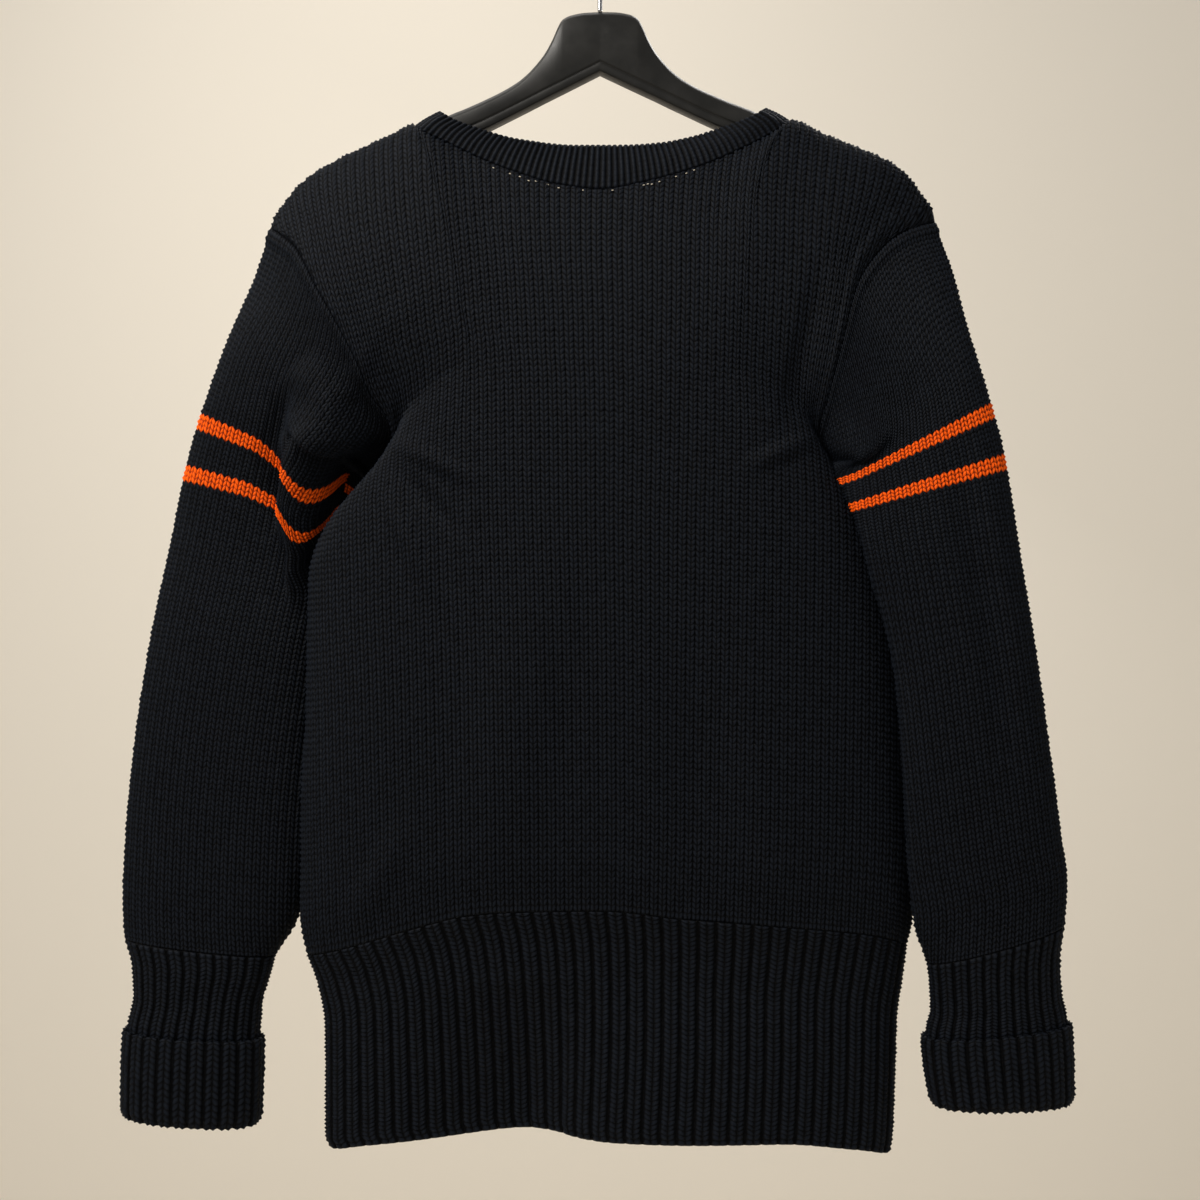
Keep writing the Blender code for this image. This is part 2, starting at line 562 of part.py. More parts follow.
def ring(row, turn, swell=0.0, power=SLEEVE_LENS):
    """Points round one flattened section; turn 0 is its inner end, 0.25 the back, 0.5 the outer end."""
    angle = 2 * np.pi * turn
    cos, sin = np.cos(angle), np.sin(angle)
    round_in = np.sign(cos) * np.abs(cos) ** (2 / power)
    round_back = np.sign(sin) * np.abs(sin) ** (2 / power)
    outer = np.stack([row["outer_x"], np.zeros_like(row["outer_x"]), row["outer_z"]], -1)
    inner = np.stack([row["inner_x"], np.zeros_like(row["inner_x"]), row["inner_z"]], -1)
    half = (inner - outer) / 2
    half = half + unit(half) * np.broadcast_to(swell, turn.shape)[..., None]
    points = (inner + outer) / 2 + half * round_in[..., None]
    points[..., 1] += row["y"] - (row["depth"] + swell) * round_back
    return points


def section(table, key, at):
    """All columns of a sleeve or cuff table at places along it."""
    names = ("outer_x", "outer_z", "inner_x", "inner_z", "y", "depth")
    return {name: read(table, key, name, at) for name in names}


def armhole(hand, turn):
    """Seam round the armhole, from the underarm up the back to the shoulder tip and down the front."""
    share = (1 - np.cos(2 * np.pi * turn)) / 2
    v = UNDERARM + (1 - UNDERARM) * share
    u = np.full_like(v, hand)
    back, front = panel(-1, u, v), panel(1, u, v)
    seam = np.where((turn <= 0.5)[..., None], back, front)
    at_middle = (np.abs(turn) < 1e-9) | (np.abs(turn - 0.5) < 1e-9)
    seam[..., 1] = np.where(at_middle, 0.0, seam[..., 1])
    return seam


def sleeve(hand, row, turn):
    """Outer face of a sleeve: flattened rings along its table, drawn to the armhole seam at the top."""
    table = LEFT_SLEEVE if hand < 0 else RIGHT_SLEEVE
    folds = LEFT_SLEEVE_FOLDS if hand < 0 else RIGHT_SLEEVE_FOLDS
    points = ring(section(table, "row", row), turn)
    start = ring(section(table, "row", np.zeros_like(row)), turn)
    left = np.clip(1 - row / SLEEVE_SETTLE, 0, 1)
    points = points + (left * left * (3 - 2 * left))[..., None] * (armhole(hand, turn) - start)
    for fold in folds:
        off = row - fold.row
        along = hump(np.where(off < 0, off / fold.before, off / fold.after), 1.0)
        turned = np.abs(turn - fold.turn)
        amount = along * hump(np.minimum(turned, 1 - turned), fold.reach) * np.clip(row / FOLD_START, 0, 1)
        points = points + amount[..., None] * np.array([fold.x, fold.y, fold.z])
    return points


def sleeve_turns():
    """Turns whose places on the armhole are the panel's own rows, so that both seams share corners."""
    rows = panel_rows()[PANEL_ROWS_BELOW:]
    share = (rows - UNDERARM) / (1 - UNDERARM)
    back = np.arccos(1 - 2 * share) / (2 * np.pi)
    return np.concatenate([back, (1 - back[1:-1])[::-1]])


def make_sleeve(name, hand):
    """Sleeve from the armhole seam to the cuff seam."""
    turn, row = np.meshgrid(sleeve_turns(), np.array(LEFT_STEPS if hand < 0 else RIGHT_STEPS, float))
    points = sleeve(hand, row, turn)
    square = normals(points, None, closed=True)
    edge = 0 if hand < 0 else -1
    sewn = [panel_faces(side)[1][PANEL_ROWS_BELOW:, edge] for side in (-1, 1)]
    square[0] = np.concatenate([sewn[0], sewn[1][1:-1][::-1]])
    along = np.roll(points[0], -1, 0) - np.roll(points[0], 1, 0)
    points[0] += seam_shift(along, square[0], points[2] - points[0]) * ARMHOLE_GAP / GAP
    inner = points - WALL * square
    wall(name, points, inner, WOOL, closed=True)


def make_cuff(name, hand):
    """Ribbed cuff whose lower band is turned back up over it, with a slit between the two layers."""
    table = LEFT_CUFF if hand < 0 else RIGHT_CUFF
    fine, raised = rib_places(CUFF_RIBS)
    coarse = fine[::len(RIB_PROFILE)]
    rings = []
    for place in CUFF_RINGS:
        turn, ribs = (fine, raised * RIB_HEIGHT) if place.ribbed else (coarse, 0.0)
        at = section(table, "w", np.full(len(turn), place.w))
        rings.append(ring(at, turn, place.swell + ribs) - np.array([0.0, 0.0, place.drop]))
    loft(name, rings, True, WOOL)


def neck_ring(side, lines, share):
    """One edge of the neckband on the back or the front, by share of the way across."""
    x = lines[0].x + (lines[-1].x - lines[0].x) * share
    y = side * read(lines, "x", "depth", x)
    return np.stack([x, y, read(lines, "x", "z", x)], -1)


def split_spans(grid, parts):
    """A closed grid with each span round it split into equal parts along its chord."""
    part = (np.arange(grid.shape[1] * parts) % parts / parts)[:, None]
    after = np.roll(grid, -1, 1)
    return np.repeat(grid, parts, 1) * (1 - part) + np.repeat(after, parts, 1) * part


def make_neckband():
    """Ribbed band, one ring round the neck, standing on the join with the panels."""
    start, stop = SHOULDER_SPANS, SHOULDER_SPANS + NECK_SPANS
    joins, sewn = [], []
    for side in (-1, 1):
        points, square = panel_faces(side)
        order = slice(start, stop) if side < 0 else slice(stop, start, -1)
        joins.append(points[-1, order])
        sewn.append(square[-1, order])
    join = np.concatenate(joins)
    join[:, 1] = np.where(np.abs(join[:, 1]) < GAP, 0.0, join[:, 1])
    square = np.concatenate(sewn)
    edges = across(panel_columns()[start:stop + 1])
    edges = (edges - edges[0]) / (edges[-1] - edges[0])
    step = 2 * NECK_RIBS_PER_SPAN
    share = edges[:-1]
    top = np.concatenate([neck_ring(-1, NECK_TOP_BACK, share), neck_ring(1, NECK_TOP_FRONT, 1 - share)])
    along = np.roll(join, -1, 0) - np.roll(join, 1, 0)
    join = join + seam_shift(along, square, top - join) * NECK_GAP / GAP
    coarse = np.stack([join + (top - join) * w for w in column(NECK_LIFTS, "w")])
    outer = split_spans(coarse, step)
    out_square = normals(outer, None, closed=True)
    plain = normals(coarse, None, closed=True)
    plain[0] = square
    inner = split_spans(coarse - WALL * plain, NECK_RIBS_PER_SPAN // 2)
    ribs = np.where(np.arange(outer.shape[1]) % 2 == 0, 0.0, RIB_HEIGHT)
    lift = column(NECK_LIFTS, "ribs")[:, None] * ribs
    wall("neckband", outer + out_square * lift[..., None], inner, WOOL, closed=True)


def make_hanger():
    """Moulded hanger: head and two arms, its top edge rounded under the shoulders."""
    columns = panel_columns()
    ridge_x, ridge_z = top_line(-1, columns)[:2]
    half = [(arm.x, arm.top, arm.bottom) for arm in HANGER]
    stations = [(-x, top, low) for x, top, low in half[:0:-1]] + half
    rings = []
    for x, top, low in stations:
        before, ridge, after = np.interp([x - 1.0, x, x + 1.0], ridge_x, ridge_z)
        under_cloth = ridge - (WALL + HANGER_REST) * math.hypot(1.0, (after - before) / 2)
        top += HANGER_TILT * x
        if abs(x) > NECK_JOIN_BACK[-1].x:
            top = under_cloth - (HANGER_END_DROP if abs(x) > HANGER_END_START else 0.0)
        low += HANGER_TILT * x
        right_side = [(HANGER_HALF_THICKNESS * off, top - drop) for off, drop in ARM_SECTION]
        foot = [
            (HANGER_HALF_THICKNESS, low + FOOT_CHAMFER),
            (HANGER_HALF_THICKNESS - FOOT_CHAMFER, low),
        ]
        half_ring = right_side + foot
        whole = half_ring + [(-y, z) for y, z in half_ring[:0:-1]]
        rings.append([(x, y, z) for y, z in whole])
    cover_ends("hanger_body", np.array(rings, float), HANGER_PLASTIC)


def cover_ends(name, rings, look):
    """Closed body through a run of rings with a fan of triangles over each end."""
    count = rings.shape[1]
    ids = np.arange(rings.shape[0] * count).reshape(rings.shape[:2])
    faces = []
    for low, high in zip(ids[:-1], ids[1:]):
        faces += bridge(list(low), list(high), True)
    points = np.concatenate([rings.reshape(-1, 3), rings[:1].mean(1), rings[-1:].mean(1)])
    first, last = ids.size, ids.size + 1
    faces += [(ids[0][(k + 1) % count], ids[0][k], first) for k in range(count)]
    faces += [(ids[-1][k], ids[-1][(k + 1) % count], last) for k in range(count)]
    return finish(name, points, faces, look)


def make_hook():
    """Wire hook: a straight stem that bends aside and turns over in a round loop."""
    radius = HOOK_INNER_RADIUS + HOOK_WIRE_RADIUS
    angles = np.radians(np.linspace(*HOOK_TURN, HOOK_STEPS))
    loop = np.stack([radius * np.cos(angles), radius * np.sin(angles) - HOOK_INNER_RADIUS], -1)
    path = np.concatenate([np.array(HOOK_STEM), loop])
    along = unit(np.gradient(path, axis=0))
    sideways = np.stack([-along[:, 1], along[:, 0]], -1)
    turns = np.arange(HOOK_SIDES) * 2 * np.pi / HOOK_SIDES
    cos, sin = np.cos(turns), np.sin(turns)
    rings = np.zeros((len(path), HOOK_SIDES, 3))
    rings[..., 0] = path[:, :1] + HOOK_WIRE_RADIUS * sideways[:, :1] * cos
    rings[..., 1] = HOOK_WIRE_RADIUS * sin
    rings[..., 2] = path[:, 1:] + HOOK_WIRE_RADIUS * sideways[:, 1:] * cos
    cover_ends("hanger_hook", rings, HOOK_STEEL)


def main():
    """Clear the scene and make every piece."""
    for thing in list(bpy.data.objects):
        bpy.data.objects.remove(thing, do_unlink=True)
    make_panel("back_panel", -1)
    make_panel("front_panel", 1)
    make_welt("back_welt", -1)
    make_welt("front_welt", 1)
    make_sleeve("left_sleeve", -1)
    make_sleeve("right_sleeve", 1)
    make_cuff("left_cuff", -1)
    make_cuff("right_cuff", 1)
    make_neckband()
    make_hanger()
    make_hook()


main()
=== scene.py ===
"""Varsity sweater of heavy worsted wool on its hanger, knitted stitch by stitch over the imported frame.

Every cloth piece is a closed wall.  Its outer face is a lattice of stitches whose columns follow the
knitted wales and whose rows follow the knitted rows; each stitch is a V of two raised legs.
Tables and sizes of the garment are in millimetres and become metres where a mesh is made.
"""

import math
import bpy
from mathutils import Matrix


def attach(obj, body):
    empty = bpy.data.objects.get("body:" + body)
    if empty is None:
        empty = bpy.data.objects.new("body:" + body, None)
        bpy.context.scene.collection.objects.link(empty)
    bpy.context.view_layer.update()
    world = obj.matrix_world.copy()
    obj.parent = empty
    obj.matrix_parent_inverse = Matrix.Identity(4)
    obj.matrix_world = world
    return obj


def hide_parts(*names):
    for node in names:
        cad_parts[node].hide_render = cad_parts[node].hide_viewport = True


bl_info = {
    "name": "Varsity Sweater on a Hanger",
    "version": (1, 0, 0),
    "blender": (4, 5, 0),
    "location": "3D View > Sidebar > Sweater",
    "description": "Knits a worsted varsity sweater and hangs it on a moulded hanger",
    "category": "Add Mesh",
}

from collections import namedtuple
from functools import partial

import bpy
import numpy as np

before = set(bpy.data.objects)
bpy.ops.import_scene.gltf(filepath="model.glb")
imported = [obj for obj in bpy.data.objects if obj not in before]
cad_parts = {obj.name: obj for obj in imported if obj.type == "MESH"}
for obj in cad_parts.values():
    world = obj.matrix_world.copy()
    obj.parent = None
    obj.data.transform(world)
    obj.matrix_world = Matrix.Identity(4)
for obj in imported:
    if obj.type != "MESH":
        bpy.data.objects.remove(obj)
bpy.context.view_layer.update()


def table(columns, rows):
    """Rows of numbers with their columns named."""
    row = namedtuple("Row", columns)
    return [row(*cells) for cells in rows]


MM = 0.001
# Smallest differences that count: of a share or a turn, and the step that a face's slope is taken over
TINY = 1e-9
EDGE_NEAR = 1e-6
SLOPE_STEP = 1e-3
# Thickness of the cloth, and the gap between pieces at a seam
WALL = 2.5
GAP = 0.3
# Points that agree to this many digits of a metre are one
PLACE_DIGITS = 7
# Height of the underarm on the armhole's edge, and how sharply the shoulder ridge closes
UNDERARM = 0.69
RIDGE_SHARPNESS = 12
# How closely the armpit folds keep to the panel's edge
FOLD_REACH = 4.0
# Sleeve rows, the rows over which the armhole's shape settles, and those over which folds set in
SLEEVE_ROWS = 134
SLEEVE_SETTLE = 30
FOLD_START = 4
# Powers of the flattened round sections of body and sleeves
LENS = 2.4
SLEEVE_LENS = 2.2
# The hanger, and how much it slopes up to the right; the hook's wire and loop
HANGER_HALF_LENGTH = 196.0
HANGER_HALF_THICKNESS = 6.0
HANGER_TILT = 0.0175
HOOK_WIRE_RADIUS = 1.6
HOOK_INNER_RADIUS = 18.0

# Side seam and armhole of the back: v runs from the welt seam (0) to the shoulder tip (1)
LEFT_EDGE = table("v x z", [
    (0.00, -201, -715), (0.05, -207, -688), (0.12, -206, -649), (0.20, -205.5, -608), (0.30, -202, -553),
    (0.40, -201, -499), (0.48, -200, -456), (0.52, -195, -436), (0.56, -184, -418), (0.60, -169, -404),
    (0.64, -153, -387), (0.69, -141, -366), (0.72, -142, -352), (0.76, -155, -332), (0.79, -160, -318),
    (0.85, -175, -288), (0.90, -191, -260), (0.95, -206, -233), (1.00, -227, -215),
])
RIGHT_EDGE = table("v x z", [
    (0.00, 210.5, -708), (0.05, 215, -688), (0.12, 216, -645), (0.20, 214, -605), (0.30, 211, -552),
    (0.40, 206, -502), (0.48, 200, -466), (0.54, 189, -438), (0.60, 174, -412), (0.65, 159, -391),
    (0.69, 149.5, -373), (0.72, 149, -361), (0.76, 152, -343), (0.79, 156.5, -323), (0.84, 164, -292),
    (0.89, 172, -261), (0.94, 190, -234), (0.97, 208, -220), (1.00, 231, -211),
])
# The same edges as they would lie without the armpit folds
CALM_EDGE = table("v left right", [
    (0.00, -201, 210.5), (0.12, -206, 216), (0.30, -202, 211), (0.50, -198, 206), (0.70, -194, 200),
    (0.85, -200, 206), (1.00, -227, 231),
])

# How far the armhole stands off the middle plane, from the underarm (0) to the shoulder tip (1)
ARMHOLE_DEPTH = table("t depth", [
    (0.00, 0.0), (0.10, 11), (0.22, 22), (0.35, 29), (0.52, 30), (0.70, 25), (0.85, 16), (0.95, 7),
    (1.00, 0.0),
])

# Shoulder ridge from tip to tip, and where the neckband joins the back and the front
SHOULDER = table("x z depth", [
    (-227, -215, 0), (-224, -208, 0), (-218, -199, 0), (-210.5, -189, 0), (-199, -179, 0),
    (-183.5, -170, 0), (-164, -160.5, 0), (-145, -152, 0), (-128, -144.5, 0), (131, -141, 0),
    (155, -151, 0), (174, -158.5, 0), (193.5, -166.5, 0), (205, -173, 0), (214.5, -182, 0), (223, -194, 0),
    (229.5, -204, 0), (231, -211, 0),
])
NECK_JOIN_BACK = table("x z depth", [
    (-128, -144.5, 0), (-122, -151, 9.8), (-105, -160, 14), (-76, -175, 19), (-54, -184, 22),
    (-32, -191, 23), (0, -195, 23), (30, -190, 23), (67, -178.5, 20), (100, -163, 14.5), (125, -148, 9.8),
    (131, -141, 0),
])
NECK_JOIN_FRONT = table("x z depth", [
    (-128, -144.5, 0), (-122, -152, 10), (-106, -184, 16), (-80, -215, 22), (-42, -240, 26), (0, -249, 27),
    (44, -240, 26), (84, -213, 22), (110, -181, 16), (125, -149, 10), (131, -141, 0),
])
NECK_TOP_BACK = table("x z depth", [
    (-110.5, -134.5, 0), (-105.5, -140, 9.6), (-83, -150, 12), (-54, -158.5, 14.5), (-16, -163, 16),
    (14, -163, 16), (41, -161, 15), (60.5, -157, 14), (80, -150.5, 12), (109, -138, 9.6), (114, -132.5, 0),
])
NECK_TOP_FRONT = table("x z depth", [
    (-110.5, -134.5, 0), (-105.5, -141, 10), (-92, -168, 14), (-66, -194, 18), (-34, -213, 21),
    (0, -219, 22), (38, -212, 21), (70, -193, 18), (96, -165, 14), (109, -139, 10), (114, -132.5, 0),
])

# Arched seam between body and welt, and the welt's outline from bottom (0) to seam (1)
WELT_SEAM = table("x z", [
    (-201, -715), (-190, -712), (-164, -704), (-132, -693.5), (-112, -687.5), (-90, -682), (-60, -679),
    (0, -678), (58, -684), (115, -689), (174, -696), (198, -702), (210.5, -708),
])
WELT_BOTTOM = table("x z", [
    (-185, -848), (-160, -842), (-107, -836), (-49, -832), (0, -834), (60, -835), (120, -836), (175, -844),
    (199, -851),
])
WELT = table("w left right depth", [
    (0.00, -185, 199, 31), (0.06, -188.5, 200.5, 32), (0.35, -188.5, 202.5, 32), (0.65, -189, 204, 31),
    (0.85, -194, 208, 33), (1.00, -201, 210.5, 38),
])
# Where the bottom of the back welt is pushed in, as a share of its full depth, and how high that fades
WELT_PUSH = table("x share", [
    (-190, 1.0), (-137, 0.8), (-85, 0.45), (-50, 0.3), (-32, 0.45), (-14, 0.8), (10, 1.02), (60, 1.12),
    (130, 1.08), (200, 1.0),
])
PUSH_FADE = 0.7
PUSH_EASE = 1.5

# Half depth of the body from the welt seam (0) to the shoulders (1)
BODY_DEPTH = table("v depth", [
    (0.0, 38), (0.08, 42), (0.35, 40), (0.7, 38), (1.0, 33),
])

# Sleeve sections by knitted row from the armhole: the outer and inner ends of each flattened ring,
# the place of its middle plane and half its depth
LEFT_SLEEVE = table("row outer_x outer_z inner_x inner_z y depth", [
    (0, -227, -215, -141, -366, 0, 26), (12, -242, -254, -153, -369, 7, 25),
    (24, -256, -285, -170, -371, 9, 23), (35, -272, -325, -179, -378, 12, 21),
    (46, -289, -373, -183, -405, 18, 18), (61, -302, -430, -191, -450, 22, 18),
    (80, -316, -500, -194, -515, 20, 19), (98, -326.5, -570, -198, -583, 19, 19),
    (115, -332, -633, -200, -645, 17, 18), (127, -333.5, -681, -212, -694, 15, 17),
    (134, -332, -708, -228, -720, 15, 17),
])
RIGHT_SLEEVE = table("row outer_x outer_z inner_x inner_z y depth", [
    (0, 231, -211, 149.5, -373, 0, 26), (11, 241, -248, 159, -377, -9, 23),
    (20, 247.5, -283, 165, -379, -16, 22), (35, 260.5, -335, 167, -387, -24, 21),
    (44.5, 269.5, -373, 169, -406, -28, 20), (59, 278, -431, 177, -441, -31, 20),
    (78, 289, -499, 197, -520, -31, 20), (97, 299, -567, 203, -590, -30, 19),
    (114, 308, -628, 207, -652, -27, 18), (125, 313, -662, 212, -690, -24, 18),
    (134, 312, -690, 221, -716, -22, 18),
])
# Folds of the body panels: middle, reach along and across, turn in degrees, and height
BACK_CREASES = table("x z along across turn height", [
    (-112, -378, 42, 9, -28, 4.0), (-118, -402, 46, 10, -48, -3.5), (-128, -432, 52, 10, -66, 3.5),
    (122, -372, 36, 9, 24, 3.0), (138, -300, 70, 13, 78, -5.0), (-60, -560, 150, 40, 84, 3.5),
    (70, -600, 130, 36, 95, -3.0), (-150, -660, 60, 16, 60, 3.0),
])
FRONT_CREASES = table("x z along across turn height", [
    (-108, -372, 44, 10, -30, 4.0), (116, -376, 44, 10, 30, 4.0), (-124, -424, 50, 10, -62, -3.5),
    (132, -428, 50, 10, 62, -3.5), (30, -520, 150, 38, 93, 3.5), (-80, -590, 120, 34, 85, -3.0),
])

# Cuff outlines from the sleeve seam (0) to the folded bottom (1)
LEFT_CUFF = table("w outer_x outer_z inner_x inner_z y depth", [
    (0.0, -332, -708, -228, -720, 15, 17), (0.15, -327, -727, -231, -732, 15, 17),
    (0.35, -326, -748, -237, -752, 15, 16), (0.58, -330, -770, -239, -776, 15, 17),
    (1.0, -332, -832, -241, -838, 15, 18),
])
RIGHT_CUFF = table("w outer_x outer_z inner_x inner_z y depth", [
    (0.0, 312, -690, 221, -716, -22, 18), (0.15, 309.5, -712, 223, -730, -21, 17),
    (0.35, 311, -736, 224, -748, -20, 16), (0.58, 315, -756, 221, -765, -19, 17),
    (1.0, 317, -811, 227, -813, -18, 18),
])
# Half of the hanger's outline: top and underside by distance from the middle
HANGER = table("x top bottom", [
    (0, -66, -108.5), (10, -66.3, -113.4), (20, -68, -118.3), (26, -71, -121.2), (28.5, -75, -122.4),
    (33, -85, -124.6), (38, -94, -127), (43, -100.5, -129.5), (50, -108, -133), (57, -113.6, -136.4),
    (67, -119.5, -141.3), (79, -125.2, -147), (92, -130.8, -152.6), (105, -136, -158.2),
    (118, -144, -163.6), (129, -150, -168.3), (147, -153, -175), (165, -160.5, -181.6), (180, -168, -187),
    (190, -173, -189.5), (HANGER_HALF_LENGTH, -179, -188.5),
])


# How one stitch column stands in its wale: place across it, height at the row's crest and between
# rows, and how far up it leans, as a share of the V's lean
STOCKINETTE = table("place crest dip lean", [
    (0.0, -0.25, -0.5, 1.0), (0.25, 1.0, 0.05, 0.5), (0.5, 0.3, -0.05, 0.0), (0.75, 1.0, 0.05, 0.5),
])
BROAD_RIB = table("place crest dip lean", [
    (0.0, -1.15, -1.15, 1.0), (0.08, -0.1, -0.5, 0.9), (0.28, 1.0, 0.15, 0.5), (0.5, 0.2, -0.2, 0.0),
    (0.72, 1.0, 0.15, 0.5), (0.92, -0.1, -0.5, 0.9),
])
NECK_RIB = table("place crest dip lean", [
    (0.0, -1.2, -1.3, 0.0), (0.28, 0.75, 0.45, 0.3), (0.5, 1.0, 0.55, 0.0), (0.72, 0.75, 0.45, 0.3),
])
# Knitted gauge: wales and rows of each piece, and the width of a wale up the body
BODY_WALES = 78
BODY_ROWS = 146
SLEEVE_WALES = 72
LEFT_SLEEVE_PITCH = 5.5
RIGHT_SLEEVE_PITCH = 5.2
WELT_RIBS = 36
WELT_ROWS = 48
CUFF_RIBS = 21
CUFF_ROWS = 40
NECK_RIBS = 150
NECK_ROWS = 8
# How far the V of a rib's stitches leans, in rows
RIB_LEAN = 0.75
NECK_LEAN = 0.4
BODY_PITCH = table("v pitch", [
    (0.0, 5.63), (0.3, 5.8), (0.65, 6.28), (1.0, 7.2),
])
# Width over which a shoulder's closing eases into the neck, and how far the neckband swells
NECK_EASE = 45.0
BAND_CROWN = 1.5
# Half rows between the points of a plain inner face, and how far down a cuff its inner face reaches
INNER_HALF_ROWS = 4
LINING_DEPTH = 0.985
# How unevenly stitches stand out: the spread of their heights, and the least and the most of it
STITCH_UNEVEN = 0.16
STITCH_LEAST = 0.6
STITCH_MOST = 1.4
# Stations up and across a face where its true lengths are measured, rounds that settle the lattice, and
# the share of a wale below which a strand ends at the side edge
PATH_STEPS = 200
PATH_SAMPLES = 280
LATTICE_ROUNDS = 5
LEAST_WALE = 0.2
# Rolled ridges on both sides of the armhole seam; on the panel they rise at the underarm and sink at the
# shoulder tip
EDGE_REACH = 205.0
SEAM_RIDGE = 1.5
SEAM_RIDGE_AT = 3.2
SEAM_RIDGE_REACH = 4.2
RIDGE_RISE_AT = -0.03
RIDGE_RISE = 0.05
RIDGE_SINK_AT = 0.92
RIDGE_SINK = 0.06
RIDGE_SINK_SHARE = 0.8
SLEEVE_RIDGE_ROW = 1.2
SLEEVE_RIDGE_REACH = 1.6
# Rows of the sleeve tables by knitted row, so that rows are evenly tall along the outer edge
LEFT_ROWS = table("knitted row", [
    (0, 0), (11.1, 12), (20.1, 24), (31.6, 35), (45.2, 46), (61, 61), (134, 134),
])
RIGHT_ROWS = table("knitted row", [
    (0, 0), (20.4, 20), (35, 35), (46, 44.5), (62, 59), (81, 78), (100, 97), (117, 114), (126.5, 125),
    (134, 134),
])
# Folds of the sleeves: middle row and reach before and after it, turn where the cloth folds over (0 is
# the underarm, 0.25 the back, 0.5 the outer edge), how far the fold runs towards the underarm (inside)
# and away from it (outside), and its shift
SLEEVE_FOLD_COLUMNS = "row before after turn inside outside x y z"
LEFT_SLEEVE_FOLDS = table(SLEEVE_FOLD_COLUMNS, [
    (25, 20, 5, 0.14, 0.10, 0.10, -4, -15, -15), (34, 22, 26, 0.215, 0.055, 0.055, 4, 8, -10),
    (38, 9, 12, 0.07, 0.08, 0.08, 3, 8, 0), (22, 18, 12, 0.86, 0.10, 0.10, -2, 10, -8),
    (17, 12, 14, 0.225, 0.16, 0.05, -7, -6, 0), (31, 14, 14, 0.205, 0.15, 0.045, -10, -9, 0),
    (45, 14, 14, 0.175, 0.10, 0.04, -11, -10, 0), (59, 14, 14, 0.135, 0.08, 0.035, -8, -7, 0),
    (46, 20, 24, 0.13, 0.07, 0.07, 0, 0, -22), (44, 13, 25, 0.03, 0.06, 0.085, 2, 26, 6),
    (34, 28, 28, 0.97, 0.11, 0.11, 17, 15, -14),
])
RIGHT_SLEEVE_FOLDS = table(SLEEVE_FOLD_COLUMNS, [
    (22, 20, 12, 0.12, 0.10, 0.10, 2, -10, -6), (70, 40, 45, 0.30, 0.06, 0.06, 0, 4, 0),
    (22, 18, 12, 0.88, 0.10, 0.10, 2, 8, -8), (24, 20, 27, 0.97, 0.10, 0.10, -14, 6, -3),
])
# Hanger face from the top edge to the foot: share of half the thickness, and the distance from the top
# or the foot
HANGER_FACE = table("share off from_foot", [
    (0.0, 0.0, False), (0.34, 0.9, False), (0.67, 2.6, False), (0.9, 4.2, False), (1.0, 6.0, False),
    (1.0, 8.0, True), (0.97, 7.2, True), (0.86, 6.8, True), (0.86, 6.0, True), (0.97, 5.6, True),
    (1.0, 5.0, True), (1.0, 1.2, True), (0.93, 0.35, True), (0.8, 0.0, True), (0.0, 0.0, True),
])
# Most that the rounded top edge and the foot may take of a slim arm's height
HANGER_EDGE_SHARE = 0.4
HANGER_FOOT_SHARE = 0.45
# Half width of the head, where the outline needs closer stations, and the stations of head and arms
HANGER_HEAD = 60.0
HANGER_HEAD_STATIONS = 117
HANGER_ARM_STATIONS = 70
# Room between the hanger and the cloth, and where the arm's tip drops away from it
HANGER_REST = 0.4
HANGER_END_DROP = 1.5
HANGER_DROP_AT = 180.0
HANGER_DROP_REACH = 8.0
# The arm follows the shoulders from just inside the neck join, over this reach
COVER_LEAD = 2.0
COVER_REACH = 6.0
# Middle line of the hook: points of its stem (across, up) and the angles of its loop in degrees
HOOK_STEM = ((0.0, -65.6), (0.0, -58.0), (0.0, -51.0), (3.0, -43.5), (9.0, -36.5))
HOOK_TURN = (-35.0, 215.0)
HOOK_LOOP_STATIONS = 120
HOOK_STEM_STATIONS = 50
HOOK_SIDES = 24
# Share of the wire's radius at the last three rings, which round its tip
HOOK_TIP = (0.93, 0.75, 0.35)
# Places of the pale neck stitches across the back, with the reach of their random shift
NECK_STITCH_X = (-73, -62, -55, -48, -43, -36, -27, -12, 8, 30, 33, 36, 41, 52, 59, 64)
NECK_STITCH_SHIFT = 1.0
# How far below the join they lie, as a share of the panel's height
NECK_STITCH_LOW = 0.004
NECK_STITCH_HIGH = 0.008
NECK_STITCH_STANDS = 0.6
NECK_STITCH_HALF_LENGTH = 0.8
NECK_STITCH_HALF_WIDTH = 0.35
BEAD_TURNS = 9
BEAD_RISES = 6
# Samples of the join that find a stitch's place, and the step that finds its direction
JOIN_SAMPLES = 801
JOIN_STEP = 0.01
# By kind of knitting: the part of a wale that its strands fill, how many strands lie there and how dark
# the painted shade between rows is
WOOLS = table("kind low high strands gaps", [
    ("plain", 0.0, 1.0, 2, 0.7), ("striped", 0.0, 1.0, 2, 0.7), ("broad_rib", 0.05, 0.95, 2, 0.7),
    ("neck_rib", 0.1, 0.9, 1, 0.3),
])
# Path of the cuff's outer face from the seam (0) down, into the slit, up and over the turned-back
# band and down to the folded bottom (1)
CUFF_PATH = table("v w swell", [
    (0.0, 0.0, 0.0), (0.28, 0.32, 0.0), (0.52, 0.60, 0.0), (0.56, 0.645, 0.0), (0.575, 0.645, 0.7),
    (0.59, 0.60, 1.3), (0.605, 0.59, 2.3), (0.63, 0.60, 3.3), (0.78, 0.77, 3.7), (0.945, 0.955, 3.3),
    (0.975, 0.99, 1.9), (1.0, 1.0, 0.0),
])


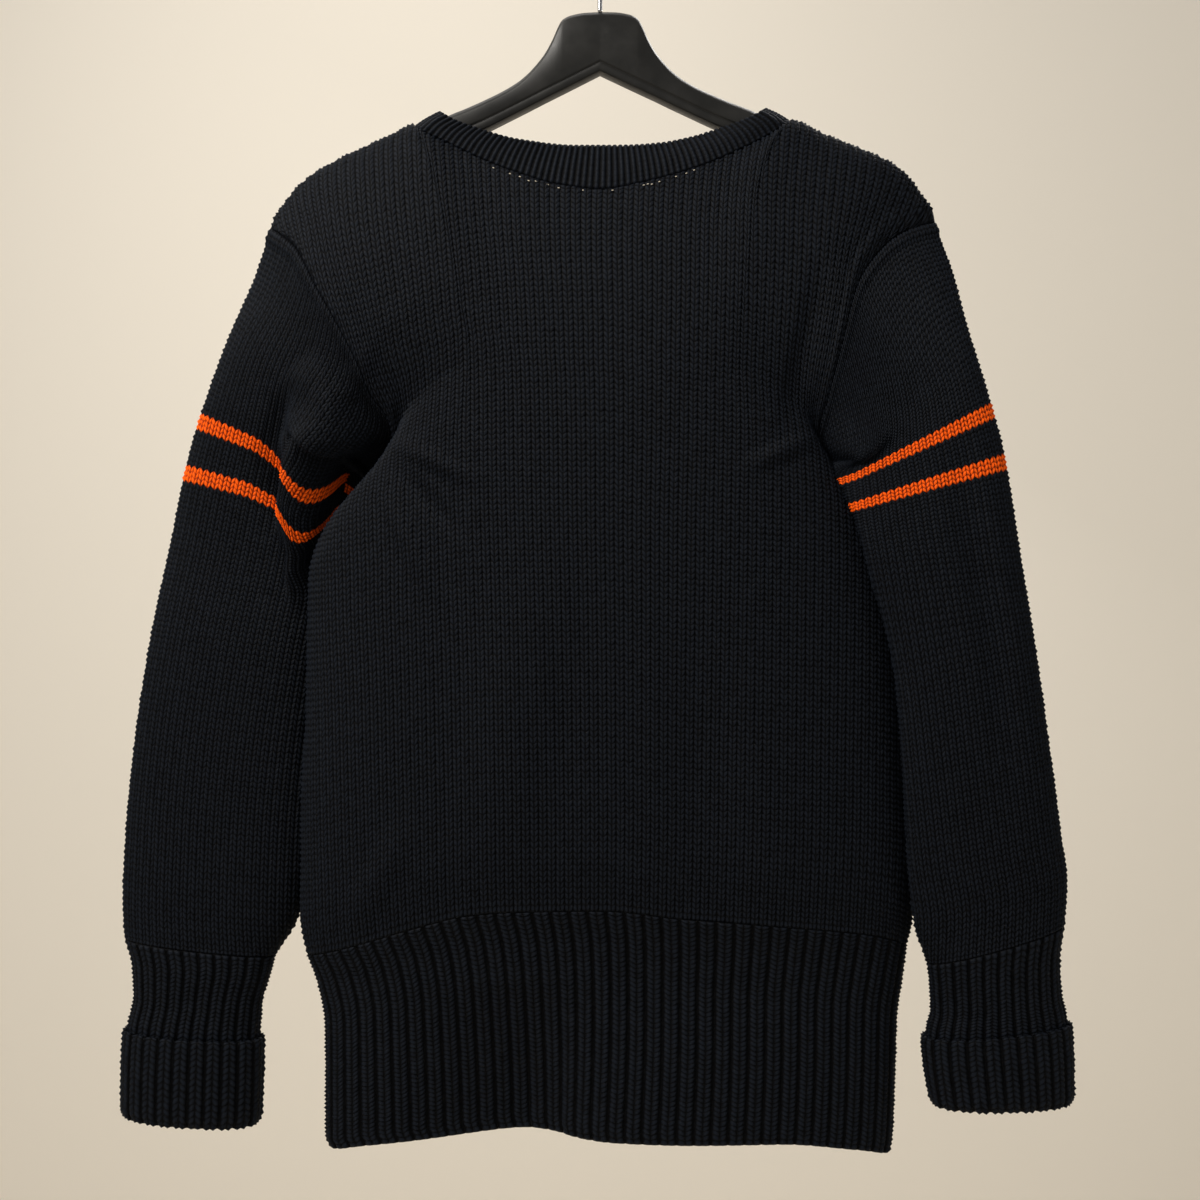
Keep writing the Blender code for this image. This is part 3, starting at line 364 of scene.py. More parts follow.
# Floor and backdrop: a corner, the way across and the way up, in metres; their paint and the light from
# all round
ROOM = table("name corner across up", [
    ("pale_floor", (-6, -6, -2.1), (12, 0, 0), (0, 12, 0)),
    ("pale_backdrop", (-6, 2.6, -2.1), (12, 0, 0), (0, 0, 6.1)),
])
WALL_PAINT = "#E9E2D6"
SKY = "#F2EFEA"
SKY_STRENGTH = 0.45
# Lamps: place, target and size in metres, power as a share of the key light, colour
LAMPS = table("name place target size share colour", [
    ("key_lamp", (-1.15, -1.1, 0.95), (0, 0, -0.5), 0.7, 1.0, (1.0, 0.96, 0.9)),
    ("fill_lamp", (1.9, -1.4, -0.1), (0, 0, -0.45), 1.6, 0.12, (0.85, 0.93, 1.0)),
    ("rim_lamp", (0.9, 1.3, 1.1), (0, 0, -0.4), 1.0, 0.3, (1.0, 0.98, 0.95)),
    ("wall_lamp", (-0.6, 0.9, 1.6), (0, 2.6, -0.3), 1.6, 0.3, (1.0, 0.97, 0.93)),
])
# Camera square to the middle plane, in metres, with its lens and sensor in millimetres
CAMERA_PLACE = (0.0, -0.95, -0.4717)
CAMERA_LENS = 41.3
CAMERA_SENSOR = 36.0


def linear(code):
    """sRGB hex code as linear colour with alpha."""
    channels = [int(code[i:i + 2], 16) / 255 for i in (1, 3, 5)]
    return [c / 12.92 if c <= 0.04045 else ((c + 0.055) / 1.055) ** 2.4 for c in channels] + [1.0]


def column(rows, name):
    """One named column of a table as an array."""
    return np.array([getattr(row, name) for row in rows], float)


def curve(keys, values, at):
    """Cubic through a table that never swings past its rows: harmonic mean slopes, none at turns."""
    at = np.clip(at, keys[0], keys[-1])
    width = np.diff(keys)
    rise = np.diff(values) / width
    slope = np.zeros(len(keys))
    slope[0], slope[-1] = rise[0], rise[-1]
    same = rise[:-1] * rise[1:] > 0
    product = np.where(same, rise[:-1] * rise[1:], 0.0)
    total = np.where(same, rise[:-1] + rise[1:], 1.0)
    slope[1:-1] = 2 * product / total
    i = np.clip(np.searchsorted(keys, at, side="right") - 1, 0, len(width) - 1)
    t = (at - keys[i]) / width[i]
    start = (1 + 2 * t) * (1 - t) ** 2 * values[i] + t * (1 - t) ** 2 * width[i] * slope[i]
    end = t * t * (3 - 2 * t) * values[i + 1] - t * t * (1 - t) * width[i] * slope[i + 1]
    return start + end


def read(rows, key, name, at):
    """Value of one column at places along another."""
    return curve(column(rows, key), column(rows, name), at)


def lens(u):
    """Half depth of a flattened round section, 1 in the middle and 0 at both edges."""
    return np.clip(1 - np.abs(u) ** LENS, 0, None) ** (1 / LENS)


def hump(distance, reach):
    """Soft bump, 1 at the middle and 0 past its reach."""
    t = np.clip(np.abs(distance) / reach, 0, 1)
    return (1 - t * t) ** 2


def ease(t):
    """Smooth step from 0 to 1."""
    t = np.clip(t, 0, 1)
    return t * t * (3 - 2 * t)


def unit(vectors):
    """Vectors brought to length one."""
    return vectors / np.maximum(np.linalg.norm(vectors, axis=-1, keepdims=True), 1e-12)


def across(u):
    """Share of the way from the left edge to the right edge."""
    return (u + 1) / 2


def span(rows, share):
    """Place across at a share of the way from a table's first row to its last."""
    return rows[0].x + (rows[-1].x - rows[0].x) * share


def seam_height(share):
    """Height of the welt's arched seam at a share of the way across."""
    return read(WELT_SEAM, "x", "z", span(WELT_SEAM, share))


def pick(side, first, second):
    """One of two things by side or hand: below 0 is the back or the left, otherwise front or right."""
    return first if side < 0 else second


def top_line(side, u):
    """Top edge of a panel: shoulder ridge, neckband join, shoulder ridge; with how far into the neck."""
    x = span(SHOULDER, across(u))
    join = pick(side, NECK_JOIN_BACK, NECK_JOIN_FRONT)
    inside = np.minimum(x - join[0].x, join[-1].x - x)
    z = np.where(inside > 0, read(join, "x", "z", x), read(SHOULDER, "x", "z", x))
    depth = np.where(inside > 0, read(join, "x", "depth", x), 0.0)
    return x, z, depth, ease(inside / NECK_EASE)


def creases(side, x, z):
    """Height of all long soft folds of a panel at a place: a ridge or trough that fades at its ends."""
    height = np.zeros_like(x)
    for fold in pick(side, BACK_CREASES, FRONT_CREASES):
        turn = math.radians(fold.turn)
        along = (x - fold.x) * math.cos(turn) + (z - fold.z) * math.sin(turn)
        off = (z - fold.z) * math.cos(turn) - (x - fold.x) * math.sin(turn)
        height += fold.height * hump(along, fold.along) * hump(off, fold.across)
    return height


def panel(side, u, v):
    """Outer face of the back (side -1) or front (side 1): u across from -1 to 1, v up from 0 to 1.

    Calm edges give an even spread of columns and the true edges pull the columns near them.  The
    depth is a flattened round section that closes along the side seams and the shoulder ridge and
    stands open at the armholes, the neck and the welt seam.
    """
    top_x, top_z, top_depth, in_neck = top_line(side, u)
    share = across(u)
    left_x, right_x = read(CALM_EDGE, "v", "left", v), read(CALM_EDGE, "v", "right", v)
    x = left_x + (right_x - left_x) * share
    seam_z = seam_height(share)
    z = seam_z + (top_z - seam_z) * v
    for edge, calm, near in ((LEFT_EDGE, left_x, 1 - share), (RIGHT_EDGE, right_x, share)):
        pull = np.clip(near, 0, 1) ** FOLD_REACH
        edge_z = edge[0].z + (edge[-1].z - edge[0].z) * v
        x = x + (read(edge, "v", "x", v) - calm) * pull
        z = z + (read(edge, "v", "z", v) - edge_z) * pull
    armhole_at = np.clip((v - UNDERARM) / (1 - UNDERARM), 0, 1)
    edge_depth = read(ARMHOLE_DEPTH, "t", "depth", armhole_at)
    closing = np.clip(1 - v ** RIDGE_SHARPNESS, 0, 1) ** (0.5 + 0.5 * in_neck)
    middle = top_depth + (read(BODY_DEPTH, "v", "depth", v) - top_depth) * closing
    middle = middle + creases(side, x, z) * closing
    depth = np.minimum(edge_depth, middle) + np.clip(middle - edge_depth, 0, None) * lens(u)
    return np.stack([x, side * (depth + GAP / 2), z], -1)


def welt(side, u, w):
    """Outer face of the ribbed welt: u across, w up from the bottom edge (0) to the seam (1)."""
    share = across(u)
    left, right = read(WELT, "w", "left", w), read(WELT, "w", "right", w)
    x = left + (right - left) * share
    low_x = span(WELT_BOTTOM, share)
    seam_z = seam_height(share)
    low_z = read(WELT_BOTTOM, "x", "z", low_x)
    z = low_z + (seam_z - low_z) * w
    depth = read(WELT, "w", "depth", w) * lens(u)
    if side < 0:
        push = read(WELT_PUSH, "x", "share", low_x)
        depth = depth * (push + (1 - push) * np.clip(w / PUSH_FADE, 0, 1) ** PUSH_EASE)
    return np.stack([x, side * (depth + GAP / 2), z], -1)


def ring(place, turn, swell):
    """Points round one flattened section; turn 0 is its inner end, 0.25 the back, 0.5 the outer end."""
    angle = 2 * np.pi * turn
    cos, sin = np.cos(angle), np.sin(angle)
    round_in = np.sign(cos) * np.abs(cos) ** (2 / SLEEVE_LENS)
    round_back = np.sign(sin) * np.abs(sin) ** (2 / SLEEVE_LENS)
    flat = np.zeros_like(place["outer_x"])
    outer = np.stack([place["outer_x"], flat, place["outer_z"]], -1)
    inner = np.stack([place["inner_x"], flat, place["inner_z"]], -1)
    half = (inner - outer) / 2
    half = half + unit(half) * np.broadcast_to(swell, turn.shape)[..., None]
    points = (inner + outer) / 2 + half * round_in[..., None]
    points[..., 1] += place["y"] - (place["depth"] + swell) * round_back
    return points


def section(rows, key, at):
    """All columns of a sleeve or cuff table at places along it."""
    names = ("outer_x", "outer_z", "inner_x", "inner_z", "y", "depth")
    return {name: read(rows, key, name, at) for name in names}


def armhole(hand, turn):
    """Seam round the armhole, from the underarm up the back to the shoulder tip and down the front."""
    share = (1 - np.cos(2 * np.pi * turn)) / 2
    v = UNDERARM + (1 - UNDERARM) * share
    u = np.full_like(v, hand)
    seam = np.where((turn <= 0.5)[..., None], panel(-1, u, v), panel(1, u, v))
    at_middle = (turn < TINY) | (np.abs(turn - 0.5) < TINY)
    seam[..., 1] = np.where(at_middle, 0.0, seam[..., 1])
    return seam


def sleeve(hand, turn, v):
    """Outer face of a sleeve: flattened rings along its table, drawn to the armhole seam at the top.

    Each fold shifts the points near it, most at its middle and none past its reach.
    """
    turn = turn % 1.0
    row = read(pick(hand, LEFT_ROWS, RIGHT_ROWS), "knitted", "row", v * SLEEVE_ROWS)
    rings = pick(hand, LEFT_SLEEVE, RIGHT_SLEEVE)
    points = ring(section(rings, "row", row), turn, 0.0)
    start = ring(section(rings, "row", np.zeros_like(row)), turn, 0.0)
    left = ease(1 - row / SLEEVE_SETTLE)
    points = points + left[..., None] * (armhole(hand, turn) - start)
    for fold in pick(hand, LEFT_SLEEVE_FOLDS, RIGHT_SLEEVE_FOLDS):
        off = row - fold.row
        along = hump(np.where(off < 0, off / fold.before, off / fold.after), 1.0)
        turned = (turn - fold.turn + 0.5) % 1.0 - 0.5
        amount = along * hump(np.where(turned < 0, turned / fold.inside, turned / fold.outside), 1.0)
        amount = amount * np.clip(row / FOLD_START, 0, 1)
        points = points + amount[..., None] * np.array([fold.x, fold.y, fold.z])
    return points


def cuff(hand, turn, v):
    """Outer face of a cuff along its path, the turned-back band on top."""
    w = np.interp(v, column(CUFF_PATH, "v"), column(CUFF_PATH, "w"))
    swell = np.interp(v, column(CUFF_PATH, "v"), column(CUFF_PATH, "swell"))
    points = ring(section(pick(hand, LEFT_CUFF, RIGHT_CUFF), "w", w), turn % 1.0, swell)
    points[..., 2] -= GAP * (1 - v)
    return points


def cuff_lining(hand, turn, v):
    """Plain inside of a cuff, from the seam to the folded bottom."""
    rings = section(pick(hand, LEFT_CUFF, RIGHT_CUFF), "w", v * LINING_DEPTH)
    points = ring(rings, turn % 1.0, -WALL)
    points[..., 2] -= GAP * (1 - v)
    return points


def neck_edge(back, front, turn):
    """One edge of the neckband: turn 0 to 0.5 runs along the back, 0.5 to 1 returns along the front."""
    turn = turn % 1.0
    on_back = turn < 0.5
    share = np.where(on_back, 2 * turn, 2 - 2 * turn)
    x = span(back, share)
    y = np.where(on_back, -read(back, "x", "depth", x), read(front, "x", "depth", x))
    z = np.where(on_back, read(back, "x", "z", x), read(front, "x", "z", x))
    return np.stack([x, y, z], -1)


def neckband(turn, v):
    """Outer face of the neckband, from the join with the panels (0) to its free edge (1)."""
    join = neck_edge(NECK_JOIN_BACK, NECK_JOIN_FRONT, turn)
    top = neck_edge(NECK_TOP_BACK, NECK_TOP_FRONT, turn)
    points = join + (top - join) * v[..., None]
    points[..., 1] += np.sign(points[..., 1]) * BAND_CROWN * np.sin(np.pi * v)
    return points


# A face of a piece as a function of a place across it and a place up it: the reach and the middle of
# the place across, and whether the face closes round
Face = namedtuple("Face", "points low high middle closed")


def flat_face(points):
    """Face from side seam (-1) to side seam (1)."""
    return Face(points, -1.0, 1.0, 0.0, False)


def round_face(points):
    """Face round a sleeve, cuff or neck, from its seam (0) to its seam again (1)."""
    return Face(points, 0.0, 1.0, 0.5, True)


def off_edges(face, a):
    """Whether places across a face lie off its two edges."""
    return (a > face.low + EDGE_NEAR) & (a < face.high - EDGE_NEAR)


def facing(face, a, v):
    """Directions square to a surface, from its differences over a small step both ways."""
    low_a, high_a = a - SLOPE_STEP, a + SLOPE_STEP
    low_v, high_v = np.maximum(v - SLOPE_STEP, 0.0), np.minimum(v + SLOPE_STEP, 1.0)
    if not face.closed:
        low_a, high_a = np.maximum(low_a, face.low), np.minimum(high_a, face.high)
    round_way = face.points(high_a, v) - face.points(low_a, v)
    up_way = face.points(a, high_v) - face.points(a, low_v)
    return unit(np.cross(unit(round_way), unit(up_way)))


def wale_paths(face, wales, places, pitch):
    """Place across the face of every strand, for an even run of places up it.

    Wales are laid by true length from the middle strand at the knitted pitch; where the piece is
    narrower they end at its edge.  Without a pitch they share the whole width evenly.
    """
    up = np.linspace(0, 1, PATH_STEPS)
    spread = np.linspace(0, 1, PATH_SAMPLES)
    if not face.closed:
        spread = (1 - np.cos(np.linspace(0, np.pi, PATH_SAMPLES))) / 2
    place = face.low + (face.high - face.low) * spread
    points = face.points(*np.meshgrid(place, up))
    lengths = np.linalg.norm(np.diff(points, axis=1), axis=2)
    arc = np.concatenate([np.zeros((PATH_STEPS, 1)), np.cumsum(lengths, axis=1)], 1)
    paths = np.empty((PATH_STEPS, len(places)))
    for i, total in enumerate(arc[:, -1]):
        if pitch is None:
            target = places / wales * total
        else:
            wide = pitch(up[i])
            target = np.interp(face.middle, place, arc[i]) + (places - wales / 2) * wide
            target = np.where(target < LEAST_WALE * wide, 0.0, target)
            target = np.where(target > total - LEAST_WALE * wide, total, target)
            target[0], target[-1] = 0.0, total
        paths[i] = np.interp(target, arc[i], place)
    return paths


def by_strand(strands, wales, name):
    """One column of the strand table for every column of the lattice."""
    return np.append(np.tile(column(strands, name), wales), getattr(strands[0], name))


def stitch_grid(face, wales, strands, rows, rows_at, pitch, lean):
    """Lattice of places (across, up) of a knitted face, with the column and half row of each point.

    A point of the lattice climbs by its strand's share of the V's lean, fading at both ends of its wale.
    The last array says where the lattice lies inside the face, not on its side edges.
    """
    places = np.append(np.add.outer(np.arange(wales), column(strands, "place")).ravel(), wales)
    leans = by_strand(strands, wales, "lean")
    paths = wale_paths(face, wales, places, pitch)
    steps = len(paths) - 1
    columns = np.broadcast_to(np.arange(len(places)), (2 * rows + 1, len(places)))
    row = np.broadcast_to(np.arange(2 * rows + 1)[:, None] / 2, columns.shape)
    a = paths[steps // 2][columns]
    for _ in range(LATTICE_ROUNDS):
        total = rows if rows_at is None else rows_at(a)
        rise = lean * leans[columns] * np.clip(row / (2 * lean), 0, 1)
        rise = rise * np.clip((total - row) / (2 * lean), 0, 1) * off_edges(face, a)
        v = np.clip((row + rise) / total, 0, 1)
        low = np.minimum((v * steps).astype(int), steps - 1)
        t = v * steps - low
        a = paths[low, columns] * (1 - t) + paths[low + 1, columns] * t
    return a, v, places, row, off_edges(face, a) | (face.closed and pitch is None)


def relief(strands, wales, rows, seed):
    """Height of every lattice point as a share of the stitch height, uneven from stitch to stitch."""
    crest, dip = by_strand(strands, wales, "crest"), by_strand(strands, wales, "dip")
    height = np.where((np.arange(2 * rows + 1) % 2 == 1)[:, None], crest, dip)
    by_stitch = np.random.default_rng(seed).normal(1.0, STITCH_UNEVEN, (2 * rows + 1, wales + 1))
    wale = np.minimum(np.arange(len(crest)) // len(strands), wales)
    return height * np.clip(by_stitch[:, wale], STITCH_LEAST, STITCH_MOST)


def strips(ids, flip=False):
    """Two triangles for every cell of a grid of vertex numbers."""
    a, b, c, d = ids[:-1, :-1], ids[:-1, 1:], ids[1:, 1:], ids[1:, :-1]
    faces = np.concatenate([np.stack([a, b, c], -1).reshape(-1, 3), np.stack([a, c, d], -1).reshape(-1, 3)])
    return faces[:, ::-1] if flip else faces


def rim(outer, inner, forward):
    """Triangles between a fine edge and a coarse edge whose spans it divides evenly."""
    step = (len(outer) - 1) // (len(inner) - 1)
    i = np.arange(len(outer) - 1)
    near = inner[(i + (step + 1) // 2) // step]
    m = np.arange(len(inner) - 1)
    middle = outer[m * step + step // 2]
    fine = np.stack([outer[:-1], outer[1:], near], -1)
    coarse = np.stack([inner[:-1], middle, inner[1:]], -1)
    faces = np.concatenate([fine, coarse])
    return faces if forward else faces[:, ::-1]


def knit(
    name, face, wales, strands, rows, height, rows_at=None, pitch=None, outward=1.0, lean=0.7, ends=0.0,
    seed=1, bulge=None, lining=None, inner_wales=2,
):
    """Closed cloth wall: a lattice of raised stitches outside, a plain face inside, rims between.

    A point of the outer face stands off the plain surface by its relief times the stitch height, plus
    the bulge; the inner face lies one thickness inside it or follows its own lining.
    """
    a, v, places, row, inside = stitch_grid(face, wales, strands, rows, rows_at, pitch, lean)
    raised = relief(strands, wales, rows, seed)
    if face.closed:
        raised[:, -1] = raised[:, 0]
    raised = raised * np.where(inside, 1.0, 0.0) * np.where((v > 0) & (v < 1), 1.0, ends)
    lifted = raised * height
    if bulge is not None:
        lifted = lifted + bulge(a, v, row)
    outer = face.points(a, v) + outward * facing(face, a, v) * lifted[..., None]
    coarse = np.s_[::INNER_HALF_ROWS, ::len(strands) * inner_wales]
    inner_a, inner_v = a[coarse], v[coarse]
    if lining is None:
        inner = face.points(inner_a, inner_v) - WALL * outward * facing(face, inner_a, inner_v)
    else:
        inner = lining(inner_a, inner_v)
    out_ids = np.arange(a.size).reshape(a.shape)
    in_ids = a.size + np.arange(inner_a.size).reshape(inner_a.shape)
    faces = [
        strips(out_ids), strips(in_ids, flip=True),
        rim(out_ids[0], in_ids[0], False), rim(out_ids[-1], in_ids[-1], True),
    ]
    if not face.closed:
        faces += [rim(out_ids[:, 0], in_ids[:, 0], True), rim(out_ids[:, -1], in_ids[:, -1], False)]
    stitch = np.stack([np.broadcast_to(places, a.shape), row], -1)
    return fill_mesh(
        name, np.concatenate([outer.reshape(-1, 3), inner.reshape(-1, 3)]), np.concatenate(faces),
        np.concatenate([stitch.reshape(-1, 2), stitch[coarse].reshape(-1, 2)]),
        np.concatenate([raised.ravel(), np.zeros(inner_a.size)]),
    )


def fill_mesh(name, points, faces, stitch=None, raised=None):
    """Object from points in millimetres and triangles: points at one place become one, empty faces go.

    Faces are turned outwards by the sign of the enclosed volume.  The stitch map keeps the wale and
    row of every corner, and the relief attribute keeps how far each point is raised.
    """
    points = np.asarray(points, float) * MM
    rounded = np.round(points, PLACE_DIGITS)
    _, first, merged = np.unique(rounded, axis=0, return_index=True, return_inverse=True)
    merged = merged.reshape(-1)
    joined = merged[faces]
    whole = (joined[:, 0] != joined[:, 1]) & (joined[:, 1] != joined[:, 2]) & (joined[:, 2] != joined[:, 0])
    faces, joined = faces[whole], joined[whole]
    kept = points[first]
    a, b, c = kept[joined[:, 0]], kept[joined[:, 1]], kept[joined[:, 2]]
    if np.einsum("ij,ij->", a, np.cross(b, c)) < 0:
        faces, joined = faces[:, ::-1], joined[:, ::-1]
    mesh = bpy.data.meshes.new(name)
    mesh.vertices.add(len(kept))
    mesh.vertices.foreach_set("co", kept.ravel())
    mesh.loops.add(joined.size)
    mesh.loops.foreach_set("vertex_index", joined.ravel().astype(np.int32))
    mesh.polygons.add(len(joined))
    mesh.polygons.foreach_set("loop_start", np.arange(0, joined.size, 3, dtype=np.int32))
    if stitch is not None:
        layer = mesh.uv_layers.new(name="StitchMap")
        layer.data.foreach_set("uv", stitch[faces.ravel()].ravel())
    if raised is not None:
        attribute = mesh.attributes.new("relief", "FLOAT", "POINT")
        attribute.data.foreach_set("value", raised[first].astype(np.float32))
    mesh.update(calc_edges=True)
    mesh.validate()
    mesh.shade_smooth()
    piece = bpy.data.objects.new(name, mesh)
    bpy.context.scene.collection.objects.link(piece)
    return piece


def tube(path, radius, sides):
    """Rings of points round a path in millimetres, kept upright by a fixed sideways direction."""
    along = unit(np.gradient(path, axis=0))
    sideways = unit(np.cross(along, np.array([0.0, 1.0, 0.0]) + 1e-6))
    out = unit(np.cross(sideways, along))
    turns = np.arange(sides + 1) * 2 * np.pi / sides
    radius = np.broadcast_to(radius, (len(path),))[:, None, None]
    return path[:, None] + radius * (
        np.cos(turns)[None, :, None] * sideways[:, None] + np.sin(turns)[None, :, None] * out[:, None]
    )


def capped(name, rings):
    """Closed body through rings of points with a fan over each end."""
    count, sides = rings.shape[:2]
    ids = np.arange(count * sides).reshape(count, sides)
    points = np.concatenate([rings.reshape(-1, 3), rings[:1, :-1].mean(1), rings[-1:, :-1].mean(1)])
    first, last = ids.size, ids.size + 1
    start = np.stack([ids[0, 1:], ids[0, :-1], np.full(sides - 1, first)], -1)
    stop = np.stack([ids[-1, :-1], ids[-1, 1:], np.full(sides - 1, last)], -1)
    return fill_mesh(name, points, np.concatenate([strips(ids, flip=True), start, stop]))


# Materials


def add(tree, kind, settings=(), feeds=()):
    """One shader node with its settings and what feeds it.

    settings gives a socket or a property its value, and a colour ramp its ends.  feeds gives sockets, in
    order or by name, an output, a node for its first output, or a number.
    """
    node = tree.nodes.new("ShaderNode" + kind)
    for key, value in dict(settings).items():
        if key in node.inputs:
            node.inputs[key].default_value = value
        elif key == "ramp":
            for end, (place, colour) in zip(node.color_ramp.elements, value):
                end.position = place
                end.color = tuple(colour)
        else:
            setattr(node, key, value)
    for key, source in feeds.items() if isinstance(feeds, dict) else enumerate(feeds):
        if isinstance(source, (int, float)):
            node.inputs[key].default_value = source
        else:
            output = source.outputs[0] if isinstance(source, bpy.types.Node) else source
            tree.links.new(output, node.inputs[key])
    return node


def per_metre(size):
    """Scale of a pattern whose parts are a size in millimetres apart."""
    return 1 / (size * MM)


def new_material(name, looks):
    """Empty node material with its Principled shader set; returns the material, tree and shader."""
    made = bpy.data.materials.new(name)
    made.use_nodes = True
    shader = made.node_tree.nodes["Principled BSDF"]
    for key, value in looks.items():
        shader.inputs[key].default_value = value
    return made, made.node_tree, shader


def worsted_wool(name, sizes, look):
    """Heavy worsted: strands of plied yarn with painted shade between them, and a little loose fibre.

    The stitch map counts wales and rows.  A strand's painted light is a power of |sin| across it, full in
    its middle and painted dark at its edges, times a weaker one along it, full in its row and painted dark
    between rows.
    """
    made, tree, shader = new_material(name, {
        "Roughness": 0.6, "IOR": 1.45, "Specular IOR Level": 0.08,
        "Sheen Weight": 0.01, "Sheen Roughness": 0.5, "Sheen Tint": linear("#8C97A8"),
    })
    place = add(tree, "SeparateXYZ", {}, [add(tree, "UVMap", {"uv_map": "StitchMap"})])
    wale, row = place.outputs["X"], place.outputs["Y"]
    in_wale = add(tree, "Math", {"operation": "FRACT"}, [wale])
    in_legs = add(tree, "MapRange", {"From Min": look.low, "From Max": look.high}, [in_wale])
    waves = []
    for place_in, half_turns, power in ((in_legs, look.strands, 0.6), (row, 1, 0.7)):
        angle = add(tree, "Math", {"operation": "MULTIPLY"}, [place_in, math.pi * half_turns])
        wave = add(tree, "Math", {"operation": "SINE"}, [angle])
        half = add(tree, "Math", {"operation": "ABSOLUTE"}, [wave])
        waves.append(add(tree, "Math", {"operation": "POWER"}, [half, power]))
    # Painted shade between strands and between rows; the same pattern is also part of the bump's height
    row_relief_and_shade = add(tree, "Math", {"operation": "MULTIPLY_ADD"}, [waves[1], look.gaps, 1 - look.gaps])
    yarn = add(tree, "Math", {"operation": "MULTIPLY"}, [waves[0], row_relief_and_shade])
    # What lies deep between the ribs gets little light
    raised = add(tree, "Attribute", {"attribute_name": "relief"})
    open_to_light = add(tree, "MapRange", {"From Min": -1.0, "From Max": 0.1}, [raised.outputs["Fac"]])
    lit = add(tree, "Math", {"operation": "MULTIPLY"}, [yarn, open_to_light])
    # Dye takes unevenly along the yarn, in patches of 5 mm.  Loose fibres lie about 0.5 mm apart, drawn
    # that coarse so that they show
    where = add(tree, "TexCoord").outputs["Object"]
    dye = add(tree, "TexNoise", {"Scale": per_metre(5.0), "Detail": 3.0, "Roughness": 0.6}, [where])
    fuzz = add(tree, "TexNoise", {"Scale": per_metre(5 / 9), "Detail": 2.0, "Roughness": 0.7}, [where])
    for noise, weight in ((dye, 0.8), (fuzz, 0.3)):
        off_middle = add(tree, "Math", {"operation": "SUBTRACT"}, [noise, 0.5])
        lit = add(tree, "Math", {"operation": "MULTIPLY_ADD"}, [off_middle, weight, lit])
    # Painted shade: near black where the pattern is dark, between strands, between rows and deep between
    # ribs, up to the wool's colour
    shade = {"ramp": [(0.3, linear("#010102")), (0.98, sizes.wool_colour)]}
    colour = add(tree, "ValToRGB", shade, [lit]).outputs["Color"]
    if look.kind == "striped":
        # The stripes are knitted in, so they start and end with whole stitch rows
        half = sizes.stripe_rows / 2
        bands = [
            add(tree, "Math", {"operation": "COMPARE"}, [row, start + half, half])
            for start in (sizes.first_stripe, sizes.second_stripe)
        ]
        # Painted shade of the stripes: dark orange where the pattern is dark, up to the stripe colour
        shade = {"ramp": [(0.2, linear("#6A1C04")), (0.85, sizes.stripe_colour)]}
        stripe = add(tree, "ValToRGB", shade, [lit])
        in_stripe = add(tree, "Math", {"operation": "MAXIMUM"}, bands)
        # Sockets 6 and 7 are the mix's two colours, and its third output is their mix
        mix = add(tree, "Mix", {"data_type": "RGBA"}, {0: in_stripe, 6: colour, 7: stripe})
        colour = mix.outputs[2]
    tree.links.new(colour, shader.inputs["Base Color"])
    hairy = add(tree, "Math", {"operation": "MULTIPLY_ADD"}, [fuzz, 0.35, yarn])
    bump = add(tree, "Bump", {"Strength": 0.8, "Distance": 0.7 * MM}, {"Height": hairy})
    tree.links.new(bump.outputs["Normal"], shader.inputs["Normal"])
    return made


def hanger_plastic(name):
    """Moulded black plastic with a fine spark grain: a satin face, a little greyer where it is rubbed."""
    made, tree, shader = new_material(name, {
        "Roughness": 0.42, "IOR": 1.5, "Specular IOR Level": 0.25,
    })
    where = add(tree, "TexCoord").outputs["Object"]
    # Rubbed patches some 30 mm long, and grain of 0.5 mm
    wear = add(tree, "TexNoise", {"Scale": per_metre(29.4), "Detail": 5.0, "Roughness": 0.65}, [where])
    grain = add(tree, "TexNoise", {"Scale": per_metre(0.5), "Detail": 2.0}, [where])
    spread = {"From Min": 0.35, "From Max": 0.7, "To Min": 0.34, "To Max": 0.5}
    tree.links.new(add(tree, "MapRange", spread, [wear]).outputs["Result"], shader.inputs["Roughness"])
    shade = add(tree, "ValToRGB", {"ramp": [(0.3, linear("#111110")), (0.8, linear("#1C1B19"))]}, [wear])
    tree.links.new(shade.outputs["Color"], shader.inputs["Base Color"])
    bump = add(tree, "Bump", {"Strength": 0.12, "Distance": 0.3 * MM}, {"Height": grain})
    tree.links.new(bump.outputs["Normal"], shader.inputs["Normal"])
    return made


def plated_wire(name):
    """Drawn steel wire with dull nickel plate: bright, clouded in spots of about a millimetre."""
    made, tree, shader = new_material(name, {
        "Base Color": linear("#8E8E90"), "Metallic": 1.0, "Roughness": 0.3,
    })
    where = add(tree, "TexCoord").outputs["Object"]
    cloud = add(tree, "TexNoise", {"Scale": per_metre(1.11), "Detail": 3.0}, [where])
    spread = {"From Min": 0.3, "From Max": 0.7, "To Min": 0.22, "To Max": 0.4}
    tree.links.new(add(tree, "MapRange", spread, [cloud]).outputs["Result"], shader.inputs["Roughness"])
    return made


def plain_material(name, colour, roughness):
    """Even matt finish, for the room's paint and the sewing thread."""
    return new_material(name, {"Base Color": colour, "Roughness": roughness})[0]


def settle(piece, material, slot, *nodes):
    """Gives a piece its material, its body and the CAD nodes that it stands for; slot is not used."""
    piece.data.materials.append(material)
    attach(piece, "root")
    if nodes:
        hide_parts(*nodes)
    return piece


def wool(sizes, kind):
    """The wool of a kind of knitting, made once."""
    look = next(row for row in WOOLS if row.kind == kind)
    name = "worsted_wool_" + kind
    return bpy.data.materials.get(name) or worsted_wool(name, sizes, look)


# Pieces


